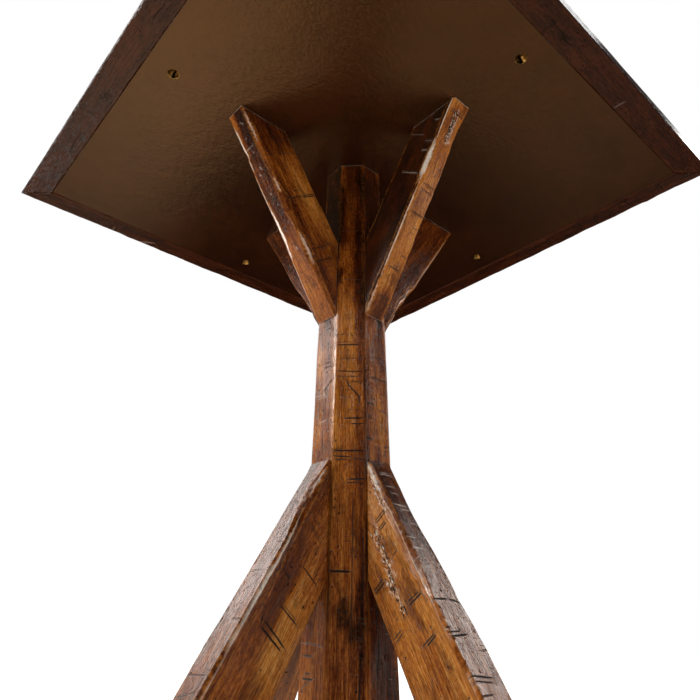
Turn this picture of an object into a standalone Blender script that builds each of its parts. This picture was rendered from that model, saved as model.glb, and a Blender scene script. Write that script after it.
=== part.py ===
"""Side table: a square top on an octagonal post, with four raking struts above and four braces below.

Metres, +Z up. The origin is on the floor under the middle of the top, and X and Y run along the
sides of the top. The struts and braces stand on the four post faces that look along X and Y.
"""

import math

import bmesh
import bpy
from mathutils import Matrix, Vector

MM = 0.001

# Driving sizes of the whole table
TABLE_HEIGHT = 660 * MM
TOP_SIDE = 610 * MM
TOP_DEPTH = 38 * MM
TOP_ARRIS = 2.0 * MM

# Boards, panel and edging of the top
BOARD_DEPTH = 22 * MM
BOARD_ARRIS = 1.2 * MM
BOARD_WIDTH_SHARES = (0.19, 0.22, 0.18, 0.21, 0.20)
EDGING_WIDTH = 30 * MM
PANEL_SETBACK = 1.0 * MM

# Hidden keys across the mitres of the edging
KEY_LENGTH = 20 * MM
KEY_WIDTH = 14 * MM
KEY_DEPTH = 5 * MM

# Octagonal post
POST_FLATS = 63.5 * MM
POST_FLOOR_GAP = 20 * MM
POST_END_CHAMFER = 3 * MM
POST_ARRIS = 1.3 * MM
POST_ARRIS_WAVE = 0.7 * MM
TENON_RADIUS = 15 * MM
TENON_SOFTENING = 1.5 * MM

# Upper struts and lower braces
LIMB_WIDTH = 25.6 * MM
STRUT_DEPTH = 48.5 * MM
STRUT_JOINT_DROP = 193.5 * MM
STRUT_REACH = 173.5 * MM
BRACE_DEPTH = 41.5 * MM
BRACE_JOINT_DROP = 310.5 * MM
BRACE_REACH = 244 * MM

# Waver of a hand-cut arris: how many half waves along it, their turn for each arris, their share
WAVER_SHARES = ((2.3, 1.7, 0.6), (5.1, 2.9, 0.4))

# Hand-cut chamfers on the limbs
OUTER_ARRIS_END = 0.8 * MM
OUTER_ARRIS_SWELL = 4.4 * MM
OUTER_ARRIS_WAVE = 0.8 * MM
INNER_ARRIS = 1.4 * MM
INNER_ARRIS_WAVE = 0.5 * MM

# Dowels inside the joints
DOWEL_RADIUS = 5 * MM
DOWEL_CHAMFER = 0.8 * MM
DOWEL_IN_POST = 13 * MM
DOWEL_IN_LIMB = 19 * MM
DOWEL_IN_PANEL = 9 * MM
DOWEL_HEIGHT_SHARE = 0.52
TOP_DOWEL_SHARE = 0.45

# Threaded brass inserts in the underside
INSERT_EDGE_DISTANCE = 59 * MM
INSERT_LENGTH = 13 * MM
INSERT_RADIUS = 5.3 * MM
INSERT_BORE = 3.4 * MM
INSERT_FLANGE_RADIUS = 6.4 * MM
INSERT_FLANGE_DEPTH = 1.4 * MM
INSERT_COUNTERSINK = 0.7 * MM
INSERT_GROOVE = 0.7 * MM
INSERT_GROOVE_COUNT = 3
INSERT_GROOVE_SHARES = (0.35, 0.65)

# Glides under the braces
GLIDE_RADIUS = 9 * MM
GLIDE_DEPTH = 4 * MM
GLIDE_CHAMFER = 1 * MM
GLIDE_PIN_RADIUS = 1.6 * MM
GLIDE_PIN_LENGTH = 14 * MM

# Fits
GAP = 0.3 * MM
END_CLEARANCE = 0.8 * MM
OVERRUN = 6 * MM

# Facets
ROUND_STEPS = 16
DOWEL_STEPS = 12
LIMB_STATIONS = 18
POST_STATIONS = 30

# Worked out from the sizes above
UNDERSIDE = TABLE_HEIGHT - TOP_DEPTH + PANEL_SETBACK
PANEL_DEPTH = TOP_DEPTH - PANEL_SETBACK - BOARD_DEPTH - GAP
FIELD_SIDE = TOP_SIDE - 2 * EDGING_WIDTH
POST_APOTHEM = POST_FLATS / 2
POST_CORNER = POST_APOTHEM / math.cos(math.pi / 8)
FOOT_PLANE = GLIDE_DEPTH + GAP
INSERT_REACH = TOP_SIDE / 2 - INSERT_EDGE_DISTANCE
SEAT = POST_APOTHEM + GAP
SIDES = ("right", "rear", "left", "front")
QUARTERS = tuple((side, order * math.pi / 2) for order, side in enumerate(SIDES))

WOOD = (0.235, 0.105, 0.038, 1.0)
DARK_WOOD = (0.150, 0.062, 0.026, 1.0)
STAINED = (0.085, 0.042, 0.024, 1.0)
BEECH = (0.480, 0.330, 0.200, 1.0)
BRASS = (0.640, 0.420, 0.170, 1.0)
NYLON = (0.055, 0.050, 0.048, 1.0)


def clear_scene():
    for old in list(bpy.data.objects):
        bpy.data.objects.remove(old, do_unlink=True)


def collection_named(name):
    made = bpy.data.collections.new(name)
    bpy.context.scene.collection.children.link(made)
    return made


def finish(name, colour, roughness, metallic):
    """A plain Principled material for one piece."""
    material = bpy.data.materials.new(name)
    material.use_nodes = True
    shader = material.node_tree.nodes["Principled BSDF"]
    shader.inputs["Base Color"].default_value = colour
    shader.inputs["Roughness"].default_value = roughness
    shader.inputs["Metallic"].default_value = metallic
    return material


def add_piece(name, bm, look, turn=0.0):
    """Puts the mesh in the table's collection as one piece, turned about the post's axis."""
    bmesh.ops.recalc_face_normals(bm, faces=bm.faces)
    mesh = bpy.data.meshes.new(name)
    bm.to_mesh(mesh)
    bm.free()
    piece = bpy.data.objects.new(name, mesh)
    piece.rotation_euler.z = turn
    piece.data.materials.append(finish(name, *look))
    TABLE.objects.link(piece)
    return piece


def add_cutter(name, bm):
    bmesh.ops.recalc_face_normals(bm, faces=bm.faces)
    mesh = bpy.data.meshes.new(name)
    bm.to_mesh(mesh)
    bm.free()
    cutter = bpy.data.objects.new(name, mesh)
    cutter.hide_render = True
    cutter.display_type = "WIRE"
    CUTTERS.objects.link(cutter)
    return cutter


def cut(piece, cutter):
    modifier = piece.modifiers.new(cutter.name, "BOOLEAN")
    modifier.operation = "DIFFERENCE"
    modifier.solver = "EXACT"
    modifier.object = cutter


def soften(piece, width, angle=math.radians(40), segments=1):
    modifier = piece.modifiers.new("softened arrises", "BEVEL")
    modifier.width = width
    modifier.segments = segments
    modifier.limit_method = "ANGLE"
    modifier.angle_limit = angle


def cuboid(bm, low, high):
    """Adds a box between two corners."""
    low = Vector(low)
    high = Vector(high)
    size = Matrix.Diagonal((*(high - low), 1.0))
    bmesh.ops.create_cube(bm, size=1.0, matrix=Matrix.Translation((low + high) / 2) @ size)


def cylinder(bm, start, end, radius, steps):
    """Adds a capped cylinder between two points."""
    start = Vector(start)
    end = Vector(end)
    axis = end - start
    place = Matrix.Translation((start + end) / 2) @ axis.to_track_quat("Z", "Y").to_matrix().to_4x4()
    bmesh.ops.create_cone(
        bm, cap_ends=True, segments=steps, radius1=radius, radius2=radius, depth=axis.length, matrix=place
    )


def turned(bm, profile, steps, place=None):
    """Spins a profile of (radius, height) points about Z, then moves the solid to its place."""
    before = set(bm.verts)
    points = [bm.verts.new((radius, 0.0, height)) for radius, height in profile]
    closed = profile[0][0] > 0.0
    ends = points + points[:1] if closed else points
    edges = [bm.edges.new(pair) for pair in zip(ends, ends[1:])]
    bmesh.ops.spin(
        bm,
        geom=points + edges,
        cent=(0.0, 0.0, 0.0),
        axis=(0.0, 0.0, 1.0),
        angle=2 * math.pi,
        steps=steps,
        use_merge=True,
        use_duplicate=False,
    )
    made = [vert for vert in bm.verts if vert not in before]
    bmesh.ops.remove_doubles(bm, verts=made, dist=GAP / 100)
    if place is not None:
        made = [vert for vert in bm.verts if vert not in before]
        bmesh.ops.transform(bm, matrix=place, verts=made)


def loft(bm, rings):
    """Joins rings of equally many points into one closed bar."""
    loops = [[bm.verts.new(point) for point in ring] for ring in rings]
    for near, far in zip(loops, loops[1:]):
        for here in range(len(near)):
            after = (here + 1) % len(near)
            bm.faces.new((near[here], near[after], far[after], far[here]))
    bm.faces.new(loops[0][::-1])
    bm.faces.new(loops[-1])


def slice_off(bm, point, outward):
    """Removes all that lies beyond a plane and closes the cut."""
    whole = list(bm.verts) + list(bm.edges) + list(bm.faces)
    found = bmesh.ops.bisect_plane(
        bm, geom=whole, plane_co=point, plane_no=outward, clear_outer=True, dist=GAP / 100
    )
    rim = [edge for edge in found["geom_cut"] if isinstance(edge, bmesh.types.BMEdge)]
    bmesh.ops.contextual_create(bm, geom=rim)


def around(point, turn):
    """A point turned about the post's axis."""
    return Matrix.Rotation(turn, 3, "Z") @ Vector(point)


def wander(share, seed):
    """A slow hand-made waver between -1 and 1 along an arris, its own for each arris."""
    angle = math.pi * share
    return sum(part * math.sin(waves * angle + turn * seed) for waves, turn, part in WAVER_SHARES)


def outer_chamfer(share, seed):
    """Chamfer of an outer arris: fine at the seats, widest towards the middle."""
    middle = math.sin(math.pi * min(max(share, 0.0), 1.0)) ** 2
    return OUTER_ARRIS_END + middle * (OUTER_ARRIS_SWELL + OUTER_ARRIS_WAVE * wander(share, seed))


def inner_chamfer(share, seed):
    return INNER_ARRIS + INNER_ARRIS_WAVE * wander(share, seed)


def limb_section(share, depth, seed):
    """Points (across, out) round a limb, with the outer face at out = 0."""
    half = LIMB_WIDTH / 2
    cuts = (
        outer_chamfer(share, seed),
        outer_chamfer(share, seed + 1),
        inner_chamfer(share, seed + 2),
        inner_chamfer(share, seed + 3),
    )
    return (
        (-half + cuts[0], 0.0),
        (half - cuts[1], 0.0),
        (half, -cuts[1]),
        (half, -depth + cuts[2]),
        (half - cuts[2], -depth),
        (-half + cuts[3], -depth),
        (-half, -depth + cuts[3]),
        (-half, -cuts[0]),
    )


def limb(joint_height, end_height, reach, depth, seed):
    """A raking bar on the +X side: its outer face leaves the post's face at joint_height."""
    foot = Vector((SEAT, 0.0, joint_height))
    head = Vector((reach, 0.0, end_height))
    along = (head - foot).normalized()
    across = Vector((0.0, 1.0, 0.0))
    out = across.cross(along)
    if out.x < 0.0:
        out.negate()
    run = (head - foot).length
    tail = depth * abs(along.x / along.z) + OVERRUN
    lead = depth * abs(along.z / along.x) + OVERRUN
    first = -OVERRUN
    last = run + max(tail, OVERRUN)
    rings = []
    for station in range(LIMB_STATIONS + 1):
        reached = first + (last - first) * station / LIMB_STATIONS
        section = limb_section(reached / run, depth, seed)
        rings.append([foot + along * reached + across * side + out * deep for side, deep in section])
    inner_end = foot - along * lead
    section = limb_section(0.0, depth, seed)
    rings.insert(0, [inner_end + across * side + out * deep for side, deep in section])
    bm = bmesh.new()
    loft(bm, rings)
    bmesh.ops.recalc_face_normals(bm, faces=bm.faces)
    slice_off(bm, (SEAT, 0.0, joint_height), (-1.0, 0.0, 0.0))
    slice_off(bm, (0.0, 0.0, end_height), (0.0, 0.0, math.copysign(1.0, end_height - joint_height)))
    return bm


def limb_rake(joint_height, end_height, reach):
    """How far a limb moves out for each unit of height, away from its joint."""
    return (reach - SEAT) / abs(end_height - joint_height)


STRUT_JOINT = UNDERSIDE - STRUT_JOINT_DROP
STRUT_HEAD = UNDERSIDE - GAP
BRACE_JOINT = UNDERSIDE - BRACE_JOINT_DROP
STRUT_RAKE = limb_rake(STRUT_JOINT, STRUT_HEAD, STRUT_REACH)
BRACE_RAKE = limb_rake(BRACE_JOINT, FOOT_PLANE, BRACE_REACH)


def seat_height(depth, rake):
    """Height of the face where a limb lies against the post."""
    return depth * math.hypot(1.0, rake) / rake


def level_depth(depth, rake):
    """Width of a limb where a level plane cuts it."""
    return depth * math.hypot(1.0, rake)


STRUT_DOWEL_HEIGHT = STRUT_JOINT + DOWEL_HEIGHT_SHARE * seat_height(STRUT_DEPTH, STRUT_RAKE)
BRACE_DOWEL_HEIGHT = BRACE_JOINT - DOWEL_HEIGHT_SHARE * seat_height(BRACE_DEPTH, BRACE_RAKE)
TOP_DOWEL_REACH = STRUT_REACH - TOP_DOWEL_SHARE * level_depth(STRUT_DEPTH, STRUT_RAKE)
GLIDE_REACH = BRACE_REACH - level_depth(BRACE_DEPTH, BRACE_RAKE) / 2


def make_post():
    """The octagonal post, its arrises eased by hand, with a round tenon into the underside."""
    bottom = POST_FLOOR_GAP
    top = UNDERSIDE - GAP
    rings = []
    for station in range(POST_STATIONS + 1):
        share = station / POST_STATIONS
        height = bottom + (top - bottom) * share
        shrink = POST_END_CHAMFER if station == 0 else 0.0
        rings.append(post_section(share, height, shrink))
        if station == 0:
            rings.append(post_section(share, height + POST_END_CHAMFER, 0.0))
    bm = bmesh.new()
    loft(bm, rings)
    post = add_piece("post", bm, (WOOD, 0.28, 0.0))
    tenon = bmesh.new()
    crown = top + PANEL_DEPTH - END_CLEARANCE
    profile = (
        (0.0, crown),
        (TENON_RADIUS - TENON_SOFTENING, crown),
        (TENON_RADIUS, crown - TENON_SOFTENING),
        (TENON_RADIUS, top - OVERRUN),
        (0.0, top - OVERRUN),
    )
    turned(tenon, profile, ROUND_STEPS)
    joined = post.modifiers.new("tenon", "BOOLEAN")
    joined.operation = "UNION"
    joined.solver = "EXACT"
    joined.object = add_cutter("tenon_form", tenon)
    cut(post, dowel_holes("post_dowel_holes", STRUT_DOWEL_HEIGHT, BRACE_DOWEL_HEIGHT))


def post_section(share, height, shrink):
    """An octagon with each corner cut off a little, by an amount that wavers along the post."""
    points = []
    edge = 2 * (POST_CORNER - shrink) * math.sin(math.pi / 8)
    for corner in range(8):
        angle = (corner + 0.5) * math.pi / 4
        here = Vector((math.cos(angle), math.sin(angle), 0.0)) * (POST_CORNER - shrink)
        before = Vector((math.cos(angle - math.pi / 4), math.sin(angle - math.pi / 4), 0.0))
        after = Vector((math.cos(angle + math.pi / 4), math.sin(angle + math.pi / 4), 0.0))
        ease = (POST_ARRIS + POST_ARRIS_WAVE * wander(share * 3, corner)) / edge
        for other in (before, after):
            moved = here.lerp(other * (POST_CORNER - shrink), ease)
            points.append((moved.x, moved.y, height))
    return points


def dowel_holes(name, *heights):
    """Level holes into the post's four seats, at each height, deep enough for the dowels."""
    bm = bmesh.new()
    deep = POST_APOTHEM - DOWEL_IN_POST - END_CLEARANCE
    for height in heights:
        for _, turn in QUARTERS:
            cylinder(
                bm,
                around((deep, 0.0, height), turn),
                around((POST_APOTHEM + OVERRUN, 0.0, height), turn),
                DOWEL_RADIUS + GAP,
                DOWEL_STEPS,
            )
    return add_cutter(name, bm)


def drilled(name, turn, *holes):
    """A cutter of round holes, each given by its two ends and its radius on the +X side."""
    bm = bmesh.new()
    for start, end, radius in holes:
        cylinder(bm, around(start, turn), around(end, turn), radius, DOWEL_STEPS)
    return add_cutter(name, bm)


def make_struts():
    """Upper struts, from the post's faces to the underside."""
    hole = DOWEL_RADIUS + GAP
    into = SEAT + DOWEL_IN_LIMB + END_CLEARANCE
    down = STRUT_HEAD - DOWEL_IN_LIMB - END_CLEARANCE
    for order, (side, turn) in enumerate(QUARTERS):
        bm = limb(STRUT_JOINT, STRUT_HEAD, STRUT_REACH, STRUT_DEPTH, 4 * order)
        strut = add_piece(f"strut_{side}", bm, (WOOD, 0.26, 0.0), turn)
        level = ((SEAT - OVERRUN, 0.0, STRUT_DOWEL_HEIGHT), (into, 0.0, STRUT_DOWEL_HEIGHT), hole)
        upright = ((TOP_DOWEL_REACH, 0.0, down), (TOP_DOWEL_REACH, 0.0, STRUT_HEAD + OVERRUN), hole)
        cut(strut, drilled(f"strut_{side}_holes", turn, level, upright))


def make_braces():
    """Lower braces, from the post's faces down to the glides."""
    hole = DOWEL_RADIUS + GAP
    into = SEAT + DOWEL_IN_LIMB + END_CLEARANCE
    pin_top = FOOT_PLANE + GLIDE_PIN_LENGTH + END_CLEARANCE
    for order, (side, turn) in enumerate(QUARTERS):
        bm = limb(BRACE_JOINT, FOOT_PLANE, BRACE_REACH, BRACE_DEPTH, 4 * order + 17)
        brace = add_piece(f"brace_{side}", bm, (WOOD, 0.26, 0.0), turn)
        level = ((SEAT - OVERRUN, 0.0, BRACE_DOWEL_HEIGHT), (into, 0.0, BRACE_DOWEL_HEIGHT), hole)
        upright = (
            (GLIDE_REACH, 0.0, FOOT_PLANE - OVERRUN),
            (GLIDE_REACH, 0.0, pin_top),
            GLIDE_PIN_RADIUS + GAP,
        )
        cut(brace, drilled(f"brace_{side}_holes", turn, level, upright))


def add_dowel(name, centre, start, end, turn):
    """A chamfered dowel between two distances from its centre, along X or Z."""
    profile = (
        (0.0, end),
        (DOWEL_RADIUS - DOWEL_CHAMFER, end),
        (DOWEL_RADIUS, end - DOWEL_CHAMFER),
        (DOWEL_RADIUS, start + DOWEL_CHAMFER),
        (DOWEL_RADIUS - DOWEL_CHAMFER, start),
        (0.0, start),
    )
    bm = bmesh.new()
    turned(bm, profile, DOWEL_STEPS, centre)
    add_piece(name, bm, (BEECH, 0.6, 0.0), turn)


def make_dowels():
    """One dowel in each seat on the post, and one at the head of each strut."""
    level = Matrix.Rotation(math.pi / 2, 4, "Y")
    for side, turn in QUARTERS:
        for kind, height in (("strut", STRUT_DOWEL_HEIGHT), ("brace", BRACE_DOWEL_HEIGHT)):
            place = Matrix.Translation((POST_APOTHEM, 0.0, height)) @ level
            add_dowel(f"{kind}_dowel_{side}", place, -DOWEL_IN_POST, DOWEL_IN_LIMB, turn)
        place = Matrix.Translation((TOP_DOWEL_REACH, 0.0, UNDERSIDE))
        add_dowel(f"top_dowel_{side}", place, -DOWEL_IN_LIMB, DOWEL_IN_PANEL, turn)


def make_panel():
    """The stained panel under the boards, with the tenon socket and the insert holes."""
    half = FIELD_SIDE / 2 - GAP
    bm = bmesh.new()
    cuboid(bm, (-half, -half, UNDERSIDE), (half, half, UNDERSIDE + PANEL_DEPTH))
    panel = add_piece("underside_panel", bm, (STAINED, 0.45, 0.0))
    holes = bmesh.new()
    cylinder(
        holes,
        (0.0, 0.0, UNDERSIDE - OVERRUN),
        (0.0, 0.0, UNDERSIDE + PANEL_DEPTH + OVERRUN),
        TENON_RADIUS + GAP,
        ROUND_STEPS,
    )
    for _, turn in QUARTERS:
        cylinder(
            holes,
            around((TOP_DOWEL_REACH, 0.0, UNDERSIDE - OVERRUN), turn),
            around((TOP_DOWEL_REACH, 0.0, UNDERSIDE + DOWEL_IN_PANEL + END_CLEARANCE), turn),
            DOWEL_RADIUS + GAP,
            DOWEL_STEPS,
        )
        profile = (
            (0.0, INSERT_LENGTH + GAP),
            (INSERT_RADIUS + GAP, INSERT_LENGTH + GAP),
            (INSERT_RADIUS + GAP, INSERT_FLANGE_DEPTH + GAP),
            (INSERT_FLANGE_RADIUS + GAP, INSERT_FLANGE_DEPTH + GAP),
            (INSERT_FLANGE_RADIUS + GAP, -OVERRUN),
            (0.0, -OVERRUN),
        )
        turned(holes, profile, ROUND_STEPS, insert_place(turn))
    cut(panel, add_cutter("panel_holes", holes))


def insert_place(turn):
    return Matrix.Translation(around((INSERT_REACH, 0.0, UNDERSIDE), turn))


def make_inserts():
    """Flanged threaded inserts, flush with the underside, with a bore for an M8 screw."""
    pitch = (INSERT_LENGTH - INSERT_FLANGE_DEPTH) / INSERT_GROOVE_COUNT
    outside = []
    for groove in range(INSERT_GROOVE_COUNT):
        low, high = (INSERT_FLANGE_DEPTH + pitch * (groove + share) for share in INSERT_GROOVE_SHARES)
        outside = [
            (INSERT_RADIUS, high),
            (INSERT_RADIUS - INSERT_GROOVE, high - INSERT_GROOVE / 2),
            (INSERT_RADIUS - INSERT_GROOVE, low + INSERT_GROOVE / 2),
            (INSERT_RADIUS, low),
        ] + outside
    profile = (
        [(INSERT_BORE, INSERT_LENGTH), (INSERT_RADIUS, INSERT_LENGTH)]
        + outside
        + [
            (INSERT_RADIUS, INSERT_FLANGE_DEPTH),
            (INSERT_FLANGE_RADIUS, INSERT_FLANGE_DEPTH),
            (INSERT_FLANGE_RADIUS, 0.0),
            (INSERT_BORE + INSERT_COUNTERSINK, 0.0),
            (INSERT_BORE, INSERT_COUNTERSINK),
        ]
    )
    for side, turn in QUARTERS:
        bm = bmesh.new()
        turned(bm, profile, ROUND_STEPS, insert_place(turn))
        add_piece(f"threaded_insert_{side}", bm, (BRASS, 0.3, 1.0))


def make_boards():
    """Solid boards side by side over the panel, their edges eased."""
    half = FIELD_SIDE / 2 - GAP
    edge = -FIELD_SIDE / 2
    for number, share in enumerate(BOARD_WIDTH_SHARES, start=1):
        width = FIELD_SIDE * share / sum(BOARD_WIDTH_SHARES)
        bm = bmesh.new()
        cuboid(
            bm,
            (-half, edge + GAP, TABLE_HEIGHT - BOARD_DEPTH),
            (half, edge + width - GAP, TABLE_HEIGHT),
        )
        board = add_piece(f"top_board_{number}", bm, (DARK_WOOD, 0.3, 0.0))
        soften(board, BOARD_ARRIS)
        edge += width


def make_edging():
    """Four mitred edgings round the top, keyed across the mitres."""
    inner = FIELD_SIDE / 2
    outer = TOP_SIDE / 2
    low = TABLE_HEIGHT - TOP_DEPTH
    for side, turn in QUARTERS:
        bm = bmesh.new()
        cuboid(bm, (inner, -outer, low), (outer, outer, TABLE_HEIGHT))
        for way in (-1.0, 1.0):
            mitre = Vector((-1.0, way, 0.0)).normalized()
            slice_off(bm, mitre * -GAP / 2, mitre)
        edging = add_piece(f"edging_{side}", bm, (DARK_WOOD, 0.3, 0.0), turn)
        soften(edging, TOP_ARRIS, segments=2)
        slots = bmesh.new()
        for corner in (turn - math.pi / 4, turn + math.pi / 4):
            add_key(slots, corner, GAP)
        cut(edging, add_cutter(f"edging_{side}_slots", slots))
    for (side, turn), (after, _) in zip(QUARTERS, QUARTERS[1:] + QUARTERS[:1]):
        bm = bmesh.new()
        add_key(bm, turn + math.pi / 4, 0.0)
        add_piece(f"mitre_key_{side}_{after}", bm, (BEECH, 0.6, 0.0))


def add_key(bm, corner, clearance):
    """A flat key across the mitre in the direction of a corner, grown by a clearance."""
    before = set(bm.verts)
    inset = (TOP_SIDE - EDGING_WIDTH) / 2
    centre = math.hypot(inset, inset)
    height = TABLE_HEIGHT - TOP_DEPTH / 2
    half = Vector((KEY_WIDTH / 2 + clearance, KEY_LENGTH / 2 + clearance, KEY_DEPTH / 2 + clearance))
    middle = Vector((centre, 0.0, height))
    cuboid(bm, middle - half, middle + half)
    made = [vert for vert in bm.verts if vert not in before]
    bmesh.ops.rotate(bm, verts=made, cent=(0.0, 0.0, 0.0), matrix=Matrix.Rotation(corner, 3, "Z"))


def make_glides():
    """Turned glides that the braces stand on, each with its pin."""
    profile = (
        (0.0, FOOT_PLANE + GLIDE_PIN_LENGTH),
        (GLIDE_PIN_RADIUS / 2, FOOT_PLANE + GLIDE_PIN_LENGTH),
        (GLIDE_PIN_RADIUS, FOOT_PLANE + GLIDE_PIN_LENGTH - GLIDE_PIN_RADIUS),
        (GLIDE_PIN_RADIUS, GLIDE_DEPTH),
        (GLIDE_RADIUS, GLIDE_DEPTH),
        (GLIDE_RADIUS, GLIDE_CHAMFER),
        (GLIDE_RADIUS - GLIDE_CHAMFER, 0.0),
        (0.0, 0.0),
    )
    for side, turn in QUARTERS:
        bm = bmesh.new()
        turned(bm, profile, ROUND_STEPS, Matrix.Translation((GLIDE_REACH, 0.0, 0.0)))
        add_piece(f"glide_{side}", bm, (NYLON, 0.55, 0.0), turn)


clear_scene()
TABLE = collection_named("side_table")
CUTTERS = collection_named("cutters")
make_post()
make_struts()
make_braces()
make_dowels()
make_panel()
make_inserts()
make_boards()
make_edging()
make_glides()
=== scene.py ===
import math

import bmesh
import bpy
import numpy as np
from mathutils import Matrix, Vector
from mathutils.geometry import delaunay_2d_cdt


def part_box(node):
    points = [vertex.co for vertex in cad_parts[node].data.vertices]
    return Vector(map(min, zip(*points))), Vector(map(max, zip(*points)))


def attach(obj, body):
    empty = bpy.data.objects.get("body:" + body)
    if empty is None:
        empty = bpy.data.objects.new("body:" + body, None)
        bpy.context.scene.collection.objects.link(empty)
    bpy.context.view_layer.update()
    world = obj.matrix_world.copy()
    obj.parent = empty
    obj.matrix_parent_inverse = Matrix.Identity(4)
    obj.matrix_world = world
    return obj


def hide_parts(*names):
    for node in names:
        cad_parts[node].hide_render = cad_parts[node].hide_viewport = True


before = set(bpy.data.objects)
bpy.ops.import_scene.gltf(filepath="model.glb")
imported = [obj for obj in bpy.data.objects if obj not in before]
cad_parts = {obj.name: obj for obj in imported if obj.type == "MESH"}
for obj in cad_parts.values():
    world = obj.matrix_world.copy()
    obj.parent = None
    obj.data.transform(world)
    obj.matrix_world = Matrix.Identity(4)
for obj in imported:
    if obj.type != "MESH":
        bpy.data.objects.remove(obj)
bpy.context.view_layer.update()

MM = 0.001
PICTURE = 700
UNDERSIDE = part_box("underside_panel")[0].z

# The camera, solved from the photograph: focal length and lens axis in pixels, place in metres
FOCAL_PIXELS = 493.2
AXIS_PIXELS = (350.5, 161.0)
CAMERA_PLACE = (-0.3059, -0.3447, UNDERSIDE - 0.4114)
CAMERA_HEADING = math.radians(41.06)
CAMERA_RISE = math.radians(44.26)
CAMERA_ROLL = math.radians(0.83)
SENSOR = 36.0

# Softboxes: heading and rise seen from the middle of the table in degrees, side in metres, watts
LIGHT_AIM = Vector((0.0, 0.0, 0.38))
LIGHT_DISTANCE = 1.9
LIGHT_COLOUR = (1.0, 0.98, 0.95)
SOFTBOXES = (
    ("key", 150, 21, 0.4, 10.8),
    ("fill_left", 129, 28, 0.5, 4.0),
    ("rear_left", 98, 30, 0.8, 7.5),
    ("high_left", 172, 32, 0.5, 3.9),
    ("right", 343, 13, 0.5, 3.0),
    ("high_right", 342, 31, 0.5, 5.5),
    ("front_right", 286, 14, 0.6, 1.9),
    ("low_right", 308, -9, 0.4, 0.7),
    ("rear_edge", 109, 5, 0.35, 3.6),
)
SUN_STRENGTH = 2.9
SUN_SPREAD = math.radians(80)
ROOM_STRENGTH = 0.03


def cad_size(node):
    """Lowest and highest corner of a CAD node, in millimetres."""
    return [[round(value / MM, 2) for value in corner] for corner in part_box(node)]


# Sizes of the CAD model that the timbers follow, in millimetres
SIDES = ("right", "rear", "left", "front")
UP = np.array((0.0, 0.0, 1.0))
GAP = 0.3
(EDGING_START, _, TOP_LOW), (EDGING_END, _, TABLE_HEIGHT) = cad_size("edging_right")
(_, _, POST_LOW), (POST_HALF, _, _) = cad_size("post")
(_, _, FOOT_PLANE), (BRACE_REACH, LIMB_HALF, _) = cad_size("brace_right")
BOARDS = [cad_size(f"top_board_{number}") for number in range(1, 6)]
SEAT = POST_HALF + GAP
UNDER = UNDERSIDE / MM

# Struts and braces, in millimetres: drop of the joint on the post under the underside, height and reach
# of the head, depth, how far it gets random marks, and how far the photograph shows its own marks
LIMBS = {
    "strut": {
        "drop": 193.5, "height": UNDER - GAP, "reach": cad_size("strut_right")[1][0], "depth": 48.5,
        "marked": 240, "seen": 245, "lobes": 5, "seed": 11,
    },
    "brace": {
        "drop": 310.5, "height": FOOT_PLANE, "reach": BRACE_REACH, "depth": 41.5,
        "marked": 374, "seen": 130, "lobes": 7, "seed": 51,
    },
}
LIMB_SEED_STEP = 3


def noise(x, y, seed):
    """Smooth noise between -1 and 1, about one unit from crest to hollow."""
    column = np.floor(x).astype(np.int64)
    row = np.floor(y).astype(np.int64)
    fx = x - column
    fy = y - row
    fx = fx * fx * (3 - 2 * fx)
    fy = fy * fy * (3 - 2 * fy)

    def node(i, j):
        mixed = (i * 374761393 + j * 668265263 + seed * 97531) & 0xFFFFFFFF
        mixed = ((mixed ^ (mixed >> 13)) * 1274126177) & 0xFFFFFFFF
        return ((mixed ^ (mixed >> 16)) & 0xFFFF) / 32767.5 - 1.0

    low = node(column, row) * (1 - fx) + node(column + 1, row) * fx
    high = node(column, row + 1) * (1 - fx) + node(column + 1, row + 1) * fx
    return low * (1 - fy) + high * fy


def line_distance(t, u, path):
    """Distance to a path of (t, u) points, and how far along the path its nearest place is, 0 to 1."""
    best = np.full(t.shape, 1e9)
    share = np.zeros(t.shape)
    steps = np.hypot(*(path[1:] - path[:-1]).T)
    total = steps.sum()
    done = 0.0
    for start, end, step in zip(path, path[1:], steps):
        way = (end - start) / max(step, 1e-9)
        reached = np.clip((t - start[0]) * way[0] + (u - start[1]) * way[1], 0.0, step)
        distance = np.hypot(t - start[0] - way[0] * reached, u - start[1] - way[1] * reached)
        nearer = distance < best
        best = np.where(nearer, distance, best)
        share = np.where(nearer, (done + reached) / total, share)
        done += step
    return best, share


def clear_of(keep_out, face, t):
    """Whether a place on a face lies outside the stretches of faces that are kept free."""
    return not any(face == other and start < t < end for other, start, end in keep_out)


def add_piece(name, bm, look, node):
    """Makes a visible piece of a finished mesh, in the place of a CAD node."""
    mesh = bpy.data.meshes.new(name)
    bm.to_mesh(mesh)
    bm.free()
    mesh.materials.append(look)
    piece = bpy.data.objects.new(name, mesh)
    bpy.context.scene.collection.objects.link(piece)
    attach(piece, "root")
    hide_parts(node)


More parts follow.
